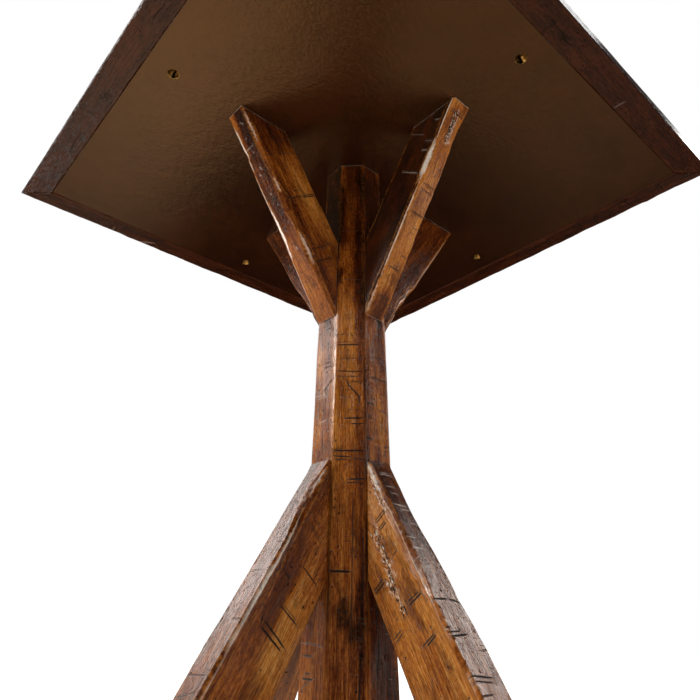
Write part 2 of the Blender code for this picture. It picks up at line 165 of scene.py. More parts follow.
class Mark:
    """A cut, crack or scratch that follows a path round a timber. A negative tone is pale: a pale scratch
    that is partly a painted glint.
    """

    WIDTH_KEPT = 0.78
    DEPTH_KEPT = 0.8
    PALE_STRENGTH = 0.6
    HALO = 0.35
    HALO_TONE = 0.14

    def __init__(self, path, width, depth, tone):
        self.path = np.array(path, float)
        self.width = width * self.WIDTH_KEPT
        self.depth = depth * self.DEPTH_KEPT
        self.tone = tone if tone > 0.0 else tone * self.PALE_STRENGTH

    def half_width(self, share):
        return 0.5 * self.width * np.clip(4.0 * share * (1.0 - share), 0.0, 1.0) ** 0.35 + 1e-6

    def lines(self, rng):
        """The path with a slight waver, its two lips, and the edges of the stain beside them."""
        steps = np.hypot(*(self.path[1:] - self.path[:-1]).T)
        reach = np.concatenate([[0.0], np.cumsum(steps)])
        count = max(3, int(reach[-1] / 1.5) + 1)
        at = np.linspace(0.0, reach[-1], count)
        middle = np.stack([np.interp(at, reach, self.path[:, axis]) for axis in (0, 1)], axis=1)
        middle[1:-1] += rng.uniform(-0.12, 0.12, (count - 2, 2)) * min(self.width, 1.5)
        self.path = middle
        way = np.gradient(middle, axis=0)
        way /= np.hypot(*way.T)[:, None]
        square = np.stack([-way[:, 1], way[:, 0]], axis=1)
        share = np.linspace(0.0, 1.0, count)
        half = self.half_width(share)[:, None]
        halo = half + self.HALO * np.clip(8.0 * share * (1.0 - share), 0.0, 1.0)[:, None]
        half[0] = half[-1] = halo[0] = halo[-1] = 0.0
        return [middle] + [middle + square * away * side for away in (half, halo) for side in (-1.0, 1.0)]

    def apply(self, t, u, depth, cut):
        """Adds the groove to depth and its dark or pale colour to cut, at the vertices near it."""
        margin = self.width + self.HALO
        low = self.path.min(axis=0) - margin
        high = self.path.max(axis=0) + margin
        near = np.nonzero((t > low[0]) & (t < high[0]) & (u > low[1]) & (u < high[1]))[0]
        if not len(near):
            return
        distance, share = line_distance(t[near], u[near], self.path)
        half = self.half_width(share)
        ends = np.clip(8.0 * np.minimum(share, 1.0 - share) + 0.3, 0.0, 1.0)
        inside = np.clip(1.0 - distance / half, 0.0, 1.0) * ends
        depth[near] += self.depth * inside
        halo = np.where(distance < half + self.HALO, self.HALO_TONE, 0.0)
        colour = self.tone * np.where(distance < half + 0.02, 1.0, halo) * ends
        stronger = np.abs(colour) > np.abs(cut[near])
        cut[near] = np.where(stronger, colour, cut[near])


class Timber:
    """A bar with a polygon section. t runs along it and u round it, both in millimetres."""

    PITS_EVERY = 55
    CRACK_EVERY = 110
    PIT_DEPTH = 0.4
    END_CUT_DEPTH = 0.4
    SEAM_MARGIN = 1.0
    CREST_WIDTH = 0.9
    SAME_PLACE = 2e-3
    CELL = 0.55

    def __init__(self, name, place, corners, ends, seed, spacing=2.4):
        self.name = name
        self.origin, self.along, self.across, self.out = (np.array(part, float) for part in place)
        self.corners = np.array(corners, float)
        ways = np.roll(self.corners, -1, axis=0) - self.corners
        self.lengths = np.hypot(*ways.T)
        self.ways = ways / self.lengths[:, None]
        self.normals = np.stack([self.ways[:, 1], -self.ways[:, 0]], axis=1)
        self.starts = np.concatenate([[0.0], np.cumsum(self.lengths)])
        self.round = self.starts[-1]
        self.ends = ends
        self.rng = np.random.RandomState(seed)
        self.seed = seed
        self.spacing = spacing
        self.marks, self.pits, self.burns, self.shades, self.arris_highlights = [], [], [], [], []
        self.tones = [0.0] * len(corners)
        self.legs = [None] * len(corners)
        self.swell = 0.5
        self.bulge = 0.07
        self.rub_and_glint = 1.0
        self.end_ease = (0.0, 0.0)
        self.joint_highlight_bands = (0.0, 0.0)

    def face_u(self, face, v):
        """Distance round the timber of a place v from the middle of a face."""
        return self.starts[face] + self.lengths[face] / 2 + v

    def face_at(self, u):
        return np.searchsorted(self.starts, u, side="right") - 1

    def limits(self, u):
        """Where the timber starts and ends at a place round it."""
        u = np.clip(u, 0.0, self.round - 1e-7)
        face = self.face_at(u)
        points = self.corners[face] + self.ways[face] * (u - self.starts[face])[:, None]
        return self.end_t(points, 0), self.end_t(points, 1)

    def end_t(self, points, which):
        """How far along the timber each section point meets an end plane."""
        place, normal = (np.array(part, float) for part in self.ends[which])
        reach = normal @ (place - self.origin)
        side = points[:, 0] * (normal @ self.across) + points[:, 1] * (normal @ self.out)
        return (reach - side) / (normal @ self.along)

    def wavering_legs(self, base, swell, count):
        """Random hewn chamfer: lobes of different length and width along an arris."""
        rng = self.rng
        lows, highs = self.limits(self.starts[:-1] + 1e-3)
        low, high = min(lows), max(highs)
        reached = low
        table = [(low, base, base)]
        while reached < high:
            length = (high - low) / count * rng.uniform(0.6, 1.5)
            size = swell * rng.uniform(0.15, 1.0)
            lean = rng.uniform(0.7, 1.4)
            peak = reached + length * rng.uniform(0.3, 0.7)
            table.append((peak - length * 0.2, base + size * 0.9, base + size * lean * 0.9))
            table.append((peak + length * 0.1, base + size, base + size * lean))
            reached += length
            table.append((reached, base * rng.uniform(0.8, 1.3), base * rng.uniform(0.8, 1.3)))
        return sorted(table)

    def leg(self, corner, t):
        """How wide the chamfer of a corner is on the face before it and on the face after it."""
        places, *sizes = np.array(self.legs[corner]).T
        waver = 0.15 * noise(t / 11.0, t * 0.0 + corner * 5.3, self.seed)
        waver = waver + 0.05 * noise(t / 3.5, t * 0.0 + corner * 3.1, self.seed + 1)
        factor = 1.0 + waver
        return [np.maximum(np.interp(t, places, size) * factor, 0.35) for size in sizes]

    def section(self, t, u):
        """Section points and outward ways with the arrises cut off, and the distance to a crest."""
        u = np.clip(u, 0.0, self.round - 1e-7)
        face = self.face_at(u)
        into = u - self.starts[face]
        left = self.lengths[face] - into
        points = self.corners[face] + self.ways[face] * into[:, None]
        normals = self.normals[face].copy()
        crest = np.full(t.shape, 1e9)
        for corner in range(len(self.corners)):
            before = (corner - 1) % len(self.corners)
            p, q = self.leg(corner, t)
            start = self.corners[corner] - self.ways[before] * p[:, None]
            end = self.corners[corner] + self.ways[corner] * q[:, None]
            on_after = face == corner
            on_before = face == before
            share = np.where(on_after, 0.5 + 0.5 * into / q, 0.5 - 0.5 * left / p)
            cut = (on_after & (into < q)) | (on_before & (left < p))
            lean = self.normals[before] + self.normals[corner]
            lean = lean / np.hypot(*lean)
            chord = np.hypot(*(end - start).T)
            rise = self.bulge * chord * 4.0 * share * (1.0 - share)
            moved = start + (end - start) * share[:, None] + lean * rise[:, None]
            points = np.where(cut[:, None], moved, points)
            normals = np.where(cut[:, None], lean, normals)
            beside = np.where(on_after, np.abs(into - q), np.where(on_before, np.abs(left - p), 1e9))
            crest = np.minimum(crest, np.where(cut, beside * 0.6, beside))
        return points, normals, crest

    def relief(self, t, u):
        """How deep the surface lies below the planed face, and the cuts, soot and painted shadow lines on
        it.
        """
        seed = self.seed
        waves = (
            0.5 * noise(t / 48.0 + 3.7, u / 15.0, seed)
            + 0.3 * noise(t / 19.0, u / 8.0, seed + 3)
            + 0.14 * noise(t / 7.0, u / 4.5, seed + 5)
        )
        depth = np.maximum(self.swell * (0.6 - waves), 0.0)
        cut = np.zeros(t.shape)
        for mark in self.marks:
            mark.apply(t, u, depth, cut)
        for place, way, radius, deep in self.pits:
            distance = np.hypot(t - place, u - way) / radius
            inside = np.clip(1.0 - distance * distance, 0.0, 1.0)
            depth = depth + deep * inside
            cut = np.where(inside > 0.0, np.maximum(cut, np.clip(inside * 1.5, 0.0, 1.0)), cut)
        burn = np.zeros(t.shape)
        for place, way, reach, wide, strength in self.burns:
            ragged = 1.0 - np.hypot((t - place) / reach, (u - way) / wide)
            ragged = ragged + 0.35 * noise(t / (0.3 * reach + 1.0), u / (0.3 * wide + 1.0), seed + 9)
            burn = np.maximum(burn, strength * np.clip(ragged * 1.4, 0.0, 1.0))
        return depth, cut, burn

    def arris_wear_and_highlights(self, t, u, crest):
        """Up to 1 where an arris is rubbed, real wear that also paints a highlight line along it, and above
        1 where a painted highlight whitens it.
        """
        wear_and_highlight = self.rub_and_glint * np.clip(1.0 - crest / self.CREST_WIDTH, 0.0, 1.0)
        for place, way, reach, wide, amount in self.arris_highlights:
            distance = (np.abs((t - place) / reach) ** 2.5 + np.abs((u - way) / wide) ** 4) ** 0.4
            ragged = 1.1 - distance + 0.2 * noise(t / 6.0, u / 2.0, self.seed + 17)
            pale = amount * np.clip(ragged * 1.6, 0.0, 1.0)
            wear_and_highlight = np.where(pale > 0.02, np.maximum(wear_and_highlight, 1.0 + pale), wear_and_highlight)
        return wear_and_highlight

    def shading(self, t, u):
        """Lighter and darker tone: one tone for each face, plus soft patches, partly the timber's stain and
        partly painted shade.
        """
        tone = np.array(self.tones)[self.face_at(np.clip(u, 0, self.round - 1e-6))]
        for place, way, reach, wide, amount in self.shades:
            distance = (np.abs((t - place) / reach) ** 3 + np.abs((u - way) / wide) ** 3) ** (1 / 3)
            ragged = 1.35 - distance + 0.3 * noise(t / 26.0, u / 6.0, self.seed + 13)
            ragged = ragged + 0.2 * noise(t / 9.0, u / 2.6, self.seed + 15)
            share = np.clip(ragged * 1.2, 0.0, 1.0)
            tone = tone + amount * share * share * (3.0 - 2.0 * share)
        return tone

    def scatter(self, faces, low, high, pitch, keep_out=()):
        """Random cuts, pits and cracks on faces of the timber."""
        for face in faces:
            for _ in range(int((high - low) / pitch)):
                self.random_cut(face, low, high, keep_out)
            for _ in range(int((high - low) / self.PITS_EVERY)):
                self.random_pits(face, low, high, keep_out)
            for _ in range(int((high - low) / self.CRACK_EVERY)):
                self.random_crack(face, low, high, keep_out)

    def random_cut(self, face, low, high, keep_out):
        """A saw or rasp mark across the grain, now and then with a twin beside it."""
        rng = self.rng
        wide = self.lengths[face]
        t = rng.uniform(low, high)
        size = wide * rng.uniform(0.3, 0.95)
        middle = rng.uniform(-0.5, 0.5) * (wide - size * 0.6)
        slant = rng.normal(0.0, 0.05) if rng.rand() < 0.8 else rng.normal(0.0, 0.45)
        width = rng.uniform(0.4, 0.85)
        depth = rng.uniform(0.15, 0.42)
        tone = rng.uniform(0.35, 1.0) * (-0.6 if rng.rand() < 0.1 else 1.0)
        twin = rng.rand() < 0.3
        beside = t + rng.uniform(1.8, 3.2)
        if not clear_of(keep_out, face, t):
            return
        first = max(middle - size / 2, -wide / 2 - 0.5)
        last = min(middle + size / 2, wide / 2 + 0.5)
        self.cut(face, t, first, t + slant * (last - first), last, width, depth, tone)
        if twin:
            far = beside + slant * (last - first - 4.0)
            self.cut(face, beside, first + 2.0, far, last - 2.0, width * 0.8, depth * 0.8, tone * 0.8)

    def random_pits(self, face, low, high, keep_out):
        """A group of wormholes."""
        rng = self.rng
        t = rng.uniform(low, high)
        v = rng.uniform(-0.4, 0.4) * self.lengths[face]
        group = rng.uniform(-1.0, 1.0, (rng.randint(2, 7), 2)) * (5.0, 3.0)
        sizes = rng.uniform(0.3, 0.8, len(group))
        if clear_of(keep_out, face, t):
            for (dt, dv), radius in zip(group, sizes):
                self.pit(face, t + dt, v + dv, radius)

    def random_crack(self, face, low, high, keep_out):
        """A drying crack along the grain, with a faint burn round it."""
        rng = self.rng
        wide = self.lengths[face]
        t = rng.uniform(low, high)
        v = rng.uniform(-0.35, 0.35) * wide
        bends = np.cumsum(rng.normal(0.0, 1.0, 4))
        length = rng.uniform(12.0, 50.0)
        if clear_of(keep_out, face, t):
            path = [(t + length * i / 3, v + bends[i] * 0.7) for i in range(4)]
            self.crack(face, path, rng.uniform(0.4, 0.8), 0.3, 0.8)
            self.burn(face, t, v, 12.0, wide * 0.2, 0.5)

    def cut(self, face, t0, v0, t1, v1, width, depth, tone):
        if v1 - v0 >= 1.0 or abs(t1 - t0) >= 1.0:
            self.crack(face, ((t0, v0), (t1, v1)), width, depth, tone)

    def crack(self, face, path, width, depth, tone):
        self.marks.append(Mark([(t, self.face_u(face, v)) for t, v in path], width, depth, tone))

    def scar(self, face, path, wide, count, pale_share=0.4):
        """A rough broken gouge along a path: pits, short splits and pale flecks that are partly torn fibres
        and partly painted glints.
        """
        rng = self.rng
        path = np.array(path, float)
        for _ in range(count):
            place = rng.uniform(0.0, len(path) - 1.001)
            leg = int(place)
            t, v = path[leg] + (path[leg + 1] - path[leg]) * (place - leg)
            v += rng.normal(0.0, wide / 3.5)
            kind = rng.rand()
            if kind < 0.35:
                self.pit(face, t, v, rng.uniform(0.3, 0.75))
                continue
            pale = kind > 1.0 - pale_share
            length = rng.uniform(1.0, 2.2) if pale else rng.uniform(1.5, 5.0)
            width = rng.uniform(0.4, 0.7) if pale else rng.uniform(0.4, 0.9)
            self.cut(face, t, v, t + length, v + rng.normal(0.0, 0.5), width, 0.3, -2.0 if pale else 1.0)

    def paint_arris_highlight(self, corner, t, reach, before, after, amount):
        """A painted highlight along an arris, from its face before to its face after."""
        middle = self.starts[corner] + (after - before) / 2
        self.arris_highlights.append((t, middle, reach, (after + before) / 2, amount))

    def pit(self, face, t, v, radius):
        self.pits.append((t, self.face_u(face, v), radius, self.PIT_DEPTH))

    def burn(self, face, t, v, reach, wide, strength):
        self.burns.append((t, self.face_u(face, v), reach, wide, strength))

    def shade(self, face, t, v, reach, wide, amount):
        self.shades.append((t, self.face_u(face, v), reach, wide, amount))

    def build(self, look, slot, node):
        """Triangulates the unrolled surface with every crest and mark as edges, then rolls it up."""
        lines, loose = self.mark_lines()
        crests = self.crest_lines()
        border = self.border(crests)
        lines += crests + self.ease_lines()
        filling = self.filling(lines)
        verts = [Vector(point) for point in border]
        edges = []
        for path in lines:
            first = len(verts)
            verts.extend(Vector(point) for point in path)
            edges.extend((first + i, first + i + 1) for i in range(len(path) - 1))
        verts.extend(Vector(point) for point in filling + loose)
        flat, _, faces, *_ = delaunay_2d_cdt(verts, edges, [list(range(len(border)))], 1, 1e-4, False)
        solid = self.roll_up(np.array([tuple(vert) for vert in flat]), faces)
        add_piece(self.name, solid, look, node)

    def mark_lines(self):
        """Lines of the marks and rings of the pits that lie clear of the ends and the seam."""
        lines, loose = [], []
        marks, self.marks = self.marks, []
        for mark in marks:
            paths = mark.lines(self.rng)
            low, high = self.limits(mark.path[:, 1])
            fits = (mark.path[:, 0] > low + 0.8).all() and (mark.path[:, 0] < high - 0.8).all()
            start, end = self.SEAM_MARGIN, self.round - self.SEAM_MARGIN
            if fits and all(((path[:, 1] > start) & (path[:, 1] < end)).all() for path in paths):
                self.marks.append(mark)
                lines.extend(paths)
        pits, self.pits = self.pits, []
        turns = np.linspace(0.0, 2 * math.pi, 8)
        for place, way, radius, depth in pits:
            low, high = self.limits(np.array([way]))
            if low[0] + 2 < place < high[0] - 2 and 2 < way < self.round - 2:
                self.pits.append((place, way, radius, depth))
                lines.append(np.stack([np.cos(turns), np.sin(turns)], axis=1) * radius + (place, way))
                loose.append(np.array((place, way)))
        return lines, loose

    def crest_lines(self):
        """Lines along each corner, along both crests of its chamfer, and on each side of a crest."""
        lines = []
        for corner, start in enumerate(self.starts[:-1]):
            for side in (0, 1):
                for share, shift in ((1.0, -0.55), (1.0, 0.0), (1.0, 0.55), (0.0, 0.0)):
                    if share == 0.0 and (side or corner == 0):
                        continue
                    low, high = (edge[0] for edge in self.limits(np.full(1, start + 1e-6)))
                    t = np.linspace(low, high, max(8, int((high - low) / 1.8)))
                    for _ in range(2):
                        leg = self.leg(corner, t)[side]
                        away = share * (leg + shift * np.minimum(1.0, leg * 0.8))
                        u = start + (away if side else -away)
                        u = np.where(u < 0.0, u + self.round, u)
                        low, high = self.limits(u)
                        t = low + (high - low) * np.linspace(0.0, 1.0, len(t))
                    lines.append(np.stack([t, u], axis=1))
        return lines

    def border(self, crests):
        """The outline of the unrolled surface, with a point where each crest meets an end."""
        ends = []
        for last in (0, -1):
            fixed = sorted({round(u, 5) for u in [line[last][1] for line in crests] + list(self.starts)})
            grown = [fixed[0]]
            for u in fixed[1:]:
                steps = max(1, int((u - grown[-1]) / self.spacing))
                grown.extend(np.linspace(grown[-1], u, steps + 1)[1:])
            ends.append(np.array(grown))
        bottom, top = (np.stack([self.limits(u)[which], u], axis=1) for which, u in enumerate(ends))
        low, high = (edge[0] for edge in self.limits(np.zeros(1)))
        seam = np.linspace(low, high, max(4, int((high - low) / self.spacing)))
        left, right = (np.stack([seam, np.full(len(seam), u)], axis=1) for u in (0.0, self.round))
        return np.concatenate([bottom[:-1], right[:-1], top[::-1][:-1], left[::-1][:-1]])

    def ease_lines(self):
        """Lines round the timber where the easing of its ends begins and is half way."""
        lines = []
        u = np.linspace(0.3, self.round - 0.3, int(self.round / self.spacing))
        for which, ease in enumerate(self.end_ease):
            for share in (0.5, 1.0) if ease else ():
                away = (-1 if which else 1) * ease * share
                lines.append(np.stack([self.limits(u)[which] + away, u], axis=1))
        return lines

    def filling(self, lines):
        """Points of a staggered grid that crowd no line."""
        g = self.spacing
        all_low, all_high = self.limits(np.linspace(0, self.round - 1e-3, 40))
        ts = np.arange(all_low.min(), all_high.max(), g)
        us = np.arange(g / 2, self.round, g * 0.9)
        t_grid, u_grid = np.meshgrid(ts, us, indexing="ij")
        u_grid = u_grid + (np.arange(len(ts)) % 2)[:, None] * g * 0.45
        points = np.stack([t_grid.ravel(), u_grid.ravel()], axis=1)
        points = points + self.rng.uniform(-0.12, 0.12, points.shape) * g
        points = points[(points[:, 1] > g * 0.4) & (points[:, 1] < self.round - g * 0.4)]
        low, high = self.limits(points[:, 1])
        points = points[(points[:, 0] > low + g * 0.45) & (points[:, 0] < high - g * 0.45)]
        taken = {tuple(cell) for cell in self.cells(np.concatenate(lines))}
        around = [(i, j) for i in (-1, 0, 1) for j in (-1, 0, 1)]
        return [
            point for point, (row, column) in zip(points, self.cells(points))
            if not any((row + i, column + j) in taken for i, j in around)
        ]

    def cells(self, points):
        return np.floor(points / self.CELL).astype(int).tolist()

    def roll_up(self, tu, faces):
        """The solid's mesh from the flat one, with its seam closed and its ends capped."""
        t, u = tu[:, 0].copy(), tu[:, 1]
        edges = self.limits(u)
        points, normals, crest = self.section(t, u)
        depth, cut, burn = self.relief(t, u)
        # A pale band where an end is eased is a painted highlight along the joint line
        for edge, ease, pale in zip(edges, self.end_ease, self.joint_highlight_bands):
            if ease:
                share = np.clip(1.0 - np.abs(t - edge) / ease, 0.0, 1.0)
                depth = depth + self.END_CUT_DEPTH * ease * share ** 1.5
                cut = np.where(share > 0.1, -pale, cut)
        low, high = (np.abs(t - edge) for edge in edges)
        crest = np.minimum(crest, np.minimum(low, high) + 1.0)
        points = points - normals * depth[:, None]
        at_low, at_high = low < self.SAME_PLACE, high < self.SAME_PLACE
        t = np.where(at_low, self.end_t(points, 0), np.where(at_high, self.end_t(points, 1), t))
        painted = {"cut": cut, "burn": burn, "wear_and_highlight": self.arris_wear_and_highlights(t, u, crest), "tone": self.shading(t, u)}
        solid = (
            self.origin + t[:, None] * self.along + points[:, :1] * self.across + points[:, 1:] * self.out
        ) * MM
        first_seam = np.nonzero(u < 1e-4)[0]
        last_seam = np.nonzero(u > self.round - 1e-4)[0]
        home = np.arange(len(t))
        if len(first_seam) == len(last_seam):
            home[last_seam[np.argsort(t[last_seam])]] = first_seam[np.argsort(t[first_seam])]
        bm = bmesh.new()
        uv = bm.loops.layers.uv.new("UVMap")
        layers = [bm.verts.layers.float.new(kind) for kind in painted]
        made = [bm.verts.new(place) if home[i] == i else None for i, place in enumerate(solid.tolist())]
        for face in faces:
            own = [made[home[i]] for i in face]
            if len(set(own)) < 3:
                continue
            shape = bm.faces.new(own)
            shape.smooth = True
            for loop, i in zip(shape.loops, face):
                loop[uv].uv = (tu[i, 0] * MM + self.seed * 0.37, tu[i, 1] * MM + self.seed * 0.61)
        for vert, values in zip(made, np.stack(list(painted.values()), axis=1).tolist()):
            if vert is not None:
                for layer, value in zip(layers, values):
                    vert[layer] = value
        rim = [edge for edge in bm.edges if len(edge.link_faces) == 1]
        for edge in rim:
            edge.smooth = False
        for cap in bmesh.ops.holes_fill(bm, edges=rim)["faces"]:
            cap.smooth = False
            for loop in cap.loops:
                place = loop.vert.co
                loop[uv].uv = (place.x + place.y, place.z + self.seed)
        bmesh.ops.recalc_face_normals(bm, faces=bm.faces)
        return bm


def srgb(*numbers):
    """Linear colour from sRGB bytes."""
    shares = [n / 255 for n in numbers]
    return tuple(((s + 0.055) / 1.055) ** 2.4 if s > 0.04 else s / 12.92 for s in shares) + (1.0,)


class Look:
    """Short calls for building a node material."""

    def __init__(self, name):
        self.material = bpy.data.materials.new(name)
        self.material.use_nodes = True
        self.tree = self.material.node_tree
        self.shader = self.tree.nodes["Principled BSDF"]

    def place(self):
        return self.node("ShaderNodeTexCoord").outputs["Object"]

    def feed(self, target, value):
        if isinstance(value, bpy.types.NodeSocket):
            self.tree.links.new(value, target)
        else:
            target.default_value = value

    def node(self, kind, inputs=None, **settings):
        made = self.tree.nodes.new(kind)
        for key, value in settings.items():
            setattr(made, key, value)
        for key, value in (inputs or {}).items():
            self.feed(made.inputs[key], value)
        return made

    def math(self, operation, a, b=0.5, clamp=False):
        return self.node("ShaderNodeMath", {0: a, 1: b}, operation=operation, use_clamp=clamp).outputs[0]

    def times(self, a, b, clamp=False):
        return self.math("MULTIPLY", a, b, clamp)

    def plus(self, total, *parts):
        """Adds each (value, share) of it to a total."""
        for value, share in parts:
            total = self.math("ADD", total, self.times(value, share))
        return total

    def mix(self, share, a, b):
        return self.node("ShaderNodeMix", {0: share, 6: a, 7: b}, data_type="RGBA").outputs[2]

    def ramp(self, value, *stops):
        made = self.node("ShaderNodeValToRGB", {0: value})
        elements = made.color_ramp.elements
        while len(elements) < len(stops):
            elements.new(0.5)
        for element, (place, colour) in zip(elements, stops):
            element.position = place
            element.color = colour if isinstance(colour, tuple) else (colour, colour, colour, 1.0)
        return made.outputs[0]

    def noise(self, vector, scale, detail=3.0, roughness=0.55, distortion=0.0):
        values = {"Scale": scale, "Detail": detail, "Roughness": roughness, "Distortion": distortion}
        return self.node("ShaderNodeTexNoise", {"Vector": vector, **values}).outputs[0]

    def stretch(self, vector, scale, shift=(0.0, 0.0), turn=0.0):
        values = {"Scale": scale, "Location": (*shift, 0.0), "Rotation": (0.0, 0.0, turn)}
        return self.node("ShaderNodeMapping", {"Vector": vector, **values}).outputs[0]

    def grain(self, vector, along, across, shift=(0.0, 0.0), *rest, turn=0.0):
        """Noise with its own number of cells a metre along and across the timber."""
        return self.noise(self.stretch(vector, (along, across, 1.0), shift, turn), 1.0, *rest)

    def attribute(self, name):
        return self.node("ShaderNodeAttribute", attribute_name=name).outputs["Fac"]

    def finish(self, colour, rough, height, strength, distance, **values):
        """Links or sets colour and roughness, adds the bump, and sets the shader's plain values."""
        relief = {"Height": height, "Strength": strength, "Distance": distance}
        self.feed(self.shader.inputs["Base Color"], colour)
        self.feed(self.shader.inputs["Roughness"], rough)
        self.feed(self.shader.inputs["Normal"], self.node("ShaderNodeBump", relief).outputs[0])
        self.set(**values)
        return self.material

    def set(self, **values):
        for name, value in values.items():
            self.shader.inputs[name.replace("_", " ")].default_value = value


# Pale of light scratches and flecks, partly painted glints, and of the painted joint highlights
PALE_MARKS_AND_GLINTS = srgb(236, 222, 204)
# White of the painted arris highlights
ARRIS_HIGHLIGHT_WHITE = srgb(244, 232, 216)
GROOVE_DARK = srgb(8, 3, 1)
OAK_TONES = (
    srgb(22, 7, 2), srgb(80, 30, 6), srgb(147, 74, 19), srgb(198, 123, 48), srgb(230, 170, 92),
)
STAINED_TONES = (
    srgb(14, 4, 1), srgb(34, 11, 3), srgb(52, 19, 6), srgb(74, 33, 12), srgb(100, 50, 22),
)


def wood(name, tones, gloss):
    """Antiqued timber: streaks along the grain, specks, scratches, dark cuts, and rubbed arrises with
    painted highlights.
    """
    look = Look(name)
    deep, brown, _, gold, _ = tones
    uv = look.node("ShaderNodeUVMap", uv_map="UVMap").outputs[0]
    broad = look.grain(uv, 11.0, 75.0, (0.0, 0.0), 3.0, 0.6, 0.5)
    streak = look.grain(uv, 14.0, 520.0, (3.1, 1.7), 4.0, 0.7, 0.4)
    fibre = look.grain(uv, 55.0, 1350.0, (7.3, 2.9), 2.0, 0.7)
    mottle = look.grain(uv, 360.0, 860.0, (4.7, 7.9), 3.0, 0.65, 0.4)
    value = look.times(look.math("SUBTRACT", broad, 0.5), 0.65)
    for part, share in ((streak, 0.5), (fibre, 0.7), (mottle, 0.7)):
        value = look.plus(value, (look.math("SUBTRACT", part, 0.5), share))
    value = look.math("ADD", look.plus(value, (look.attribute("tone"), 0.16)), 0.54)
    colour = look.ramp(value, *zip((0.04, 0.30, 0.52, 0.76, 1.0), tones))

    blotch = look.grain(uv, 26.0, 70.0, (1.3, 8.9), 4.0, 0.7, 0.8)
    colour = look.mix(look.ramp(blotch, (0.37, 0.65), (0.52, 0.0)), colour, brown)
    pore = look.ramp(look.grain(uv, 110.0, 1700.0, (5.9, 4.1), 1.0, 0.5), (0.37, 1.0), (0.44, 0.0))
    colour = look.mix(look.times(pore, 0.45), colour, deep)
    cells = {"Vector": look.stretch(uv, (210.0, 240.0, 1.0)), "Scale": 1.0}
    specks = look.node("ShaderNodeTexVoronoi", cells, feature="F1").outputs
    rare = look.ramp(specks["Color"], (0.62, 0.0), (0.66, 1.0))
    speck = look.times(look.ramp(specks["Distance"], (0.09, 1.0), (0.22, 0.0)), rare)
    colour = look.mix(look.times(speck, 0.9), colour, deep)
    hatch = look.grain(uv, 1500.0, 70.0, (2.2, 6.1), 2.0, 0.6, turn=0.06)
    zone = look.grain(uv, 42.0, 60.0, (9.2, 3.3))
    zone = look.ramp(zone, (0.50, 0.0), (0.62, 1.0))
    scratch = look.times(look.ramp(hatch, (0.60, 0.0), (0.68, 1.0)), zone)
    colour = look.mix(look.times(scratch, 0.7), colour, deep)

    smoke = look.grain(uv, 260.0, 420.0, (0.0, 0.0), 4.0, 0.7)
    # Soot, and painted shadow lines along joints, darken towards the deepest brown
    soot_and_shade_share = look.times(look.attribute("burn"), look.times(smoke, 1.9), clamp=True)
    colour = look.mix(look.times(soot_and_shade_share, 0.85), colour, deep)
    # Rubbed arrises turn gold: real wear, and also a painted highlight line along each arris
    wear_and_highlight = look.attribute("wear_and_highlight")
    rubbed_and_glint = look.times(wear_and_highlight, look.ramp(smoke, (0.42, 0.0), (0.58, 0.7)), clamp=True)
    colour = look.mix(rubbed_and_glint, colour, gold)
    # Painted highlights: where the wear attribute passes 1, the arris is painted nearly white
    patchy = look.ramp(mottle, (0.30, 0.5), (0.52, 1.0))
    highlight_share = look.times(look.math("SUBTRACT", wear_and_highlight, 1.0, clamp=True), patchy)
    colour = look.mix(highlight_share, colour, ARRIS_HIGHLIGHT_WHITE)
    # Pale marks: scratches and flecks, partly painted glints, and painted highlights along joints
    cut = look.attribute("cut")
    glint_and_pale_marks = look.times(look.times(cut, -1.0, clamp=True), 0.8)
    colour = look.mix(glint_and_pale_marks, colour, PALE_MARKS_AND_GLINTS)
    # Dark painted into the grooves of cuts, cracks and pits
    groove = look.math("SUBTRACT", look.times(cut, 1.35), 0.05, clamp=True)
    colour = look.mix(look.times(groove, 0.97), colour, GROOVE_DARK)

    rough = look.math("ADD", look.times(smoke, 0.26), 0.09)
    rough = look.math("ADD", rough, look.times(groove, 0.5), clamp=True)
    rough = look.math("SUBTRACT", rough, look.times(wear_and_highlight, 0.08), clamp=True)
    lumps = look.grain(uv, 110.0, 170.0, (4.0, 9.0), 3.0, 0.6)
    waves = look.grain(uv, 13.0, 90.0, (8.0, 2.0), 1.0, 0.5)
    height = look.plus(look.times(fibre, 0.7), (streak, 0.6), (pore, -0.5), (speck, -1.6), (scratch, -0.8))
    height = look.plus(height, (lumps, 0.45), (mottle, 0.5), (waves, 5.0))
    tint = (1.0, 0.93, 0.86, 1.0)
    return look.finish(colour, rough, height, 0.7, 0.00022, Specular_IOR_Level=gloss, Specular_Tint=tint)


def stained_panel(name):
    """Dark satin stain over close brush marks."""
    look = Look(name)
    place = look.place()
    dashes = look.grain(place, 200.0, 700.0, (0.0, 0.0), 2.0, 0.55, 0.3, turn=math.radians(85))
    clouds = look.noise(place, 7.0, 4.0, 0.6, 0.6)
    patches = look.noise(place, 60.0, 4.0, 0.65, 0.3)
    value = look.plus(look.times(clouds, 0.4), (patches, 0.2))
    value = look.math("ADD", value, look.math("ADD", look.times(dashes, 0.3), 0.2))
    colour = look.ramp(value, (0.45, srgb(22, 7, 2)), (0.65, srgb(42, 15, 3)), (0.85, srgb(58, 23, 6)))
    rough = look.math("ADD", look.times(dashes, 0.15), 0.14)
    height = look.math("ADD", dashes, patches)
    tint = (1.0, 0.60, 0.30, 1.0)
    return look.finish(colour, rough, height, 0.8, 0.0005, Specular_IOR_Level=0.9, Specular_Tint=tint)


def plain_wood(name):
    """Pale beech of the hidden dowels and keys."""
    look = Look(name)
    grain = look.noise(look.stretch(look.place(), (60.0, 60.0, 12.0)), 4.0, 4.0, 0.6, 0.5)
    colour = look.ramp(grain, (0.35, srgb(176, 132, 88)), (0.65, srgb(214, 176, 128)))
    return look.finish(colour, 0.6, grain, 0.3, 0.0003)


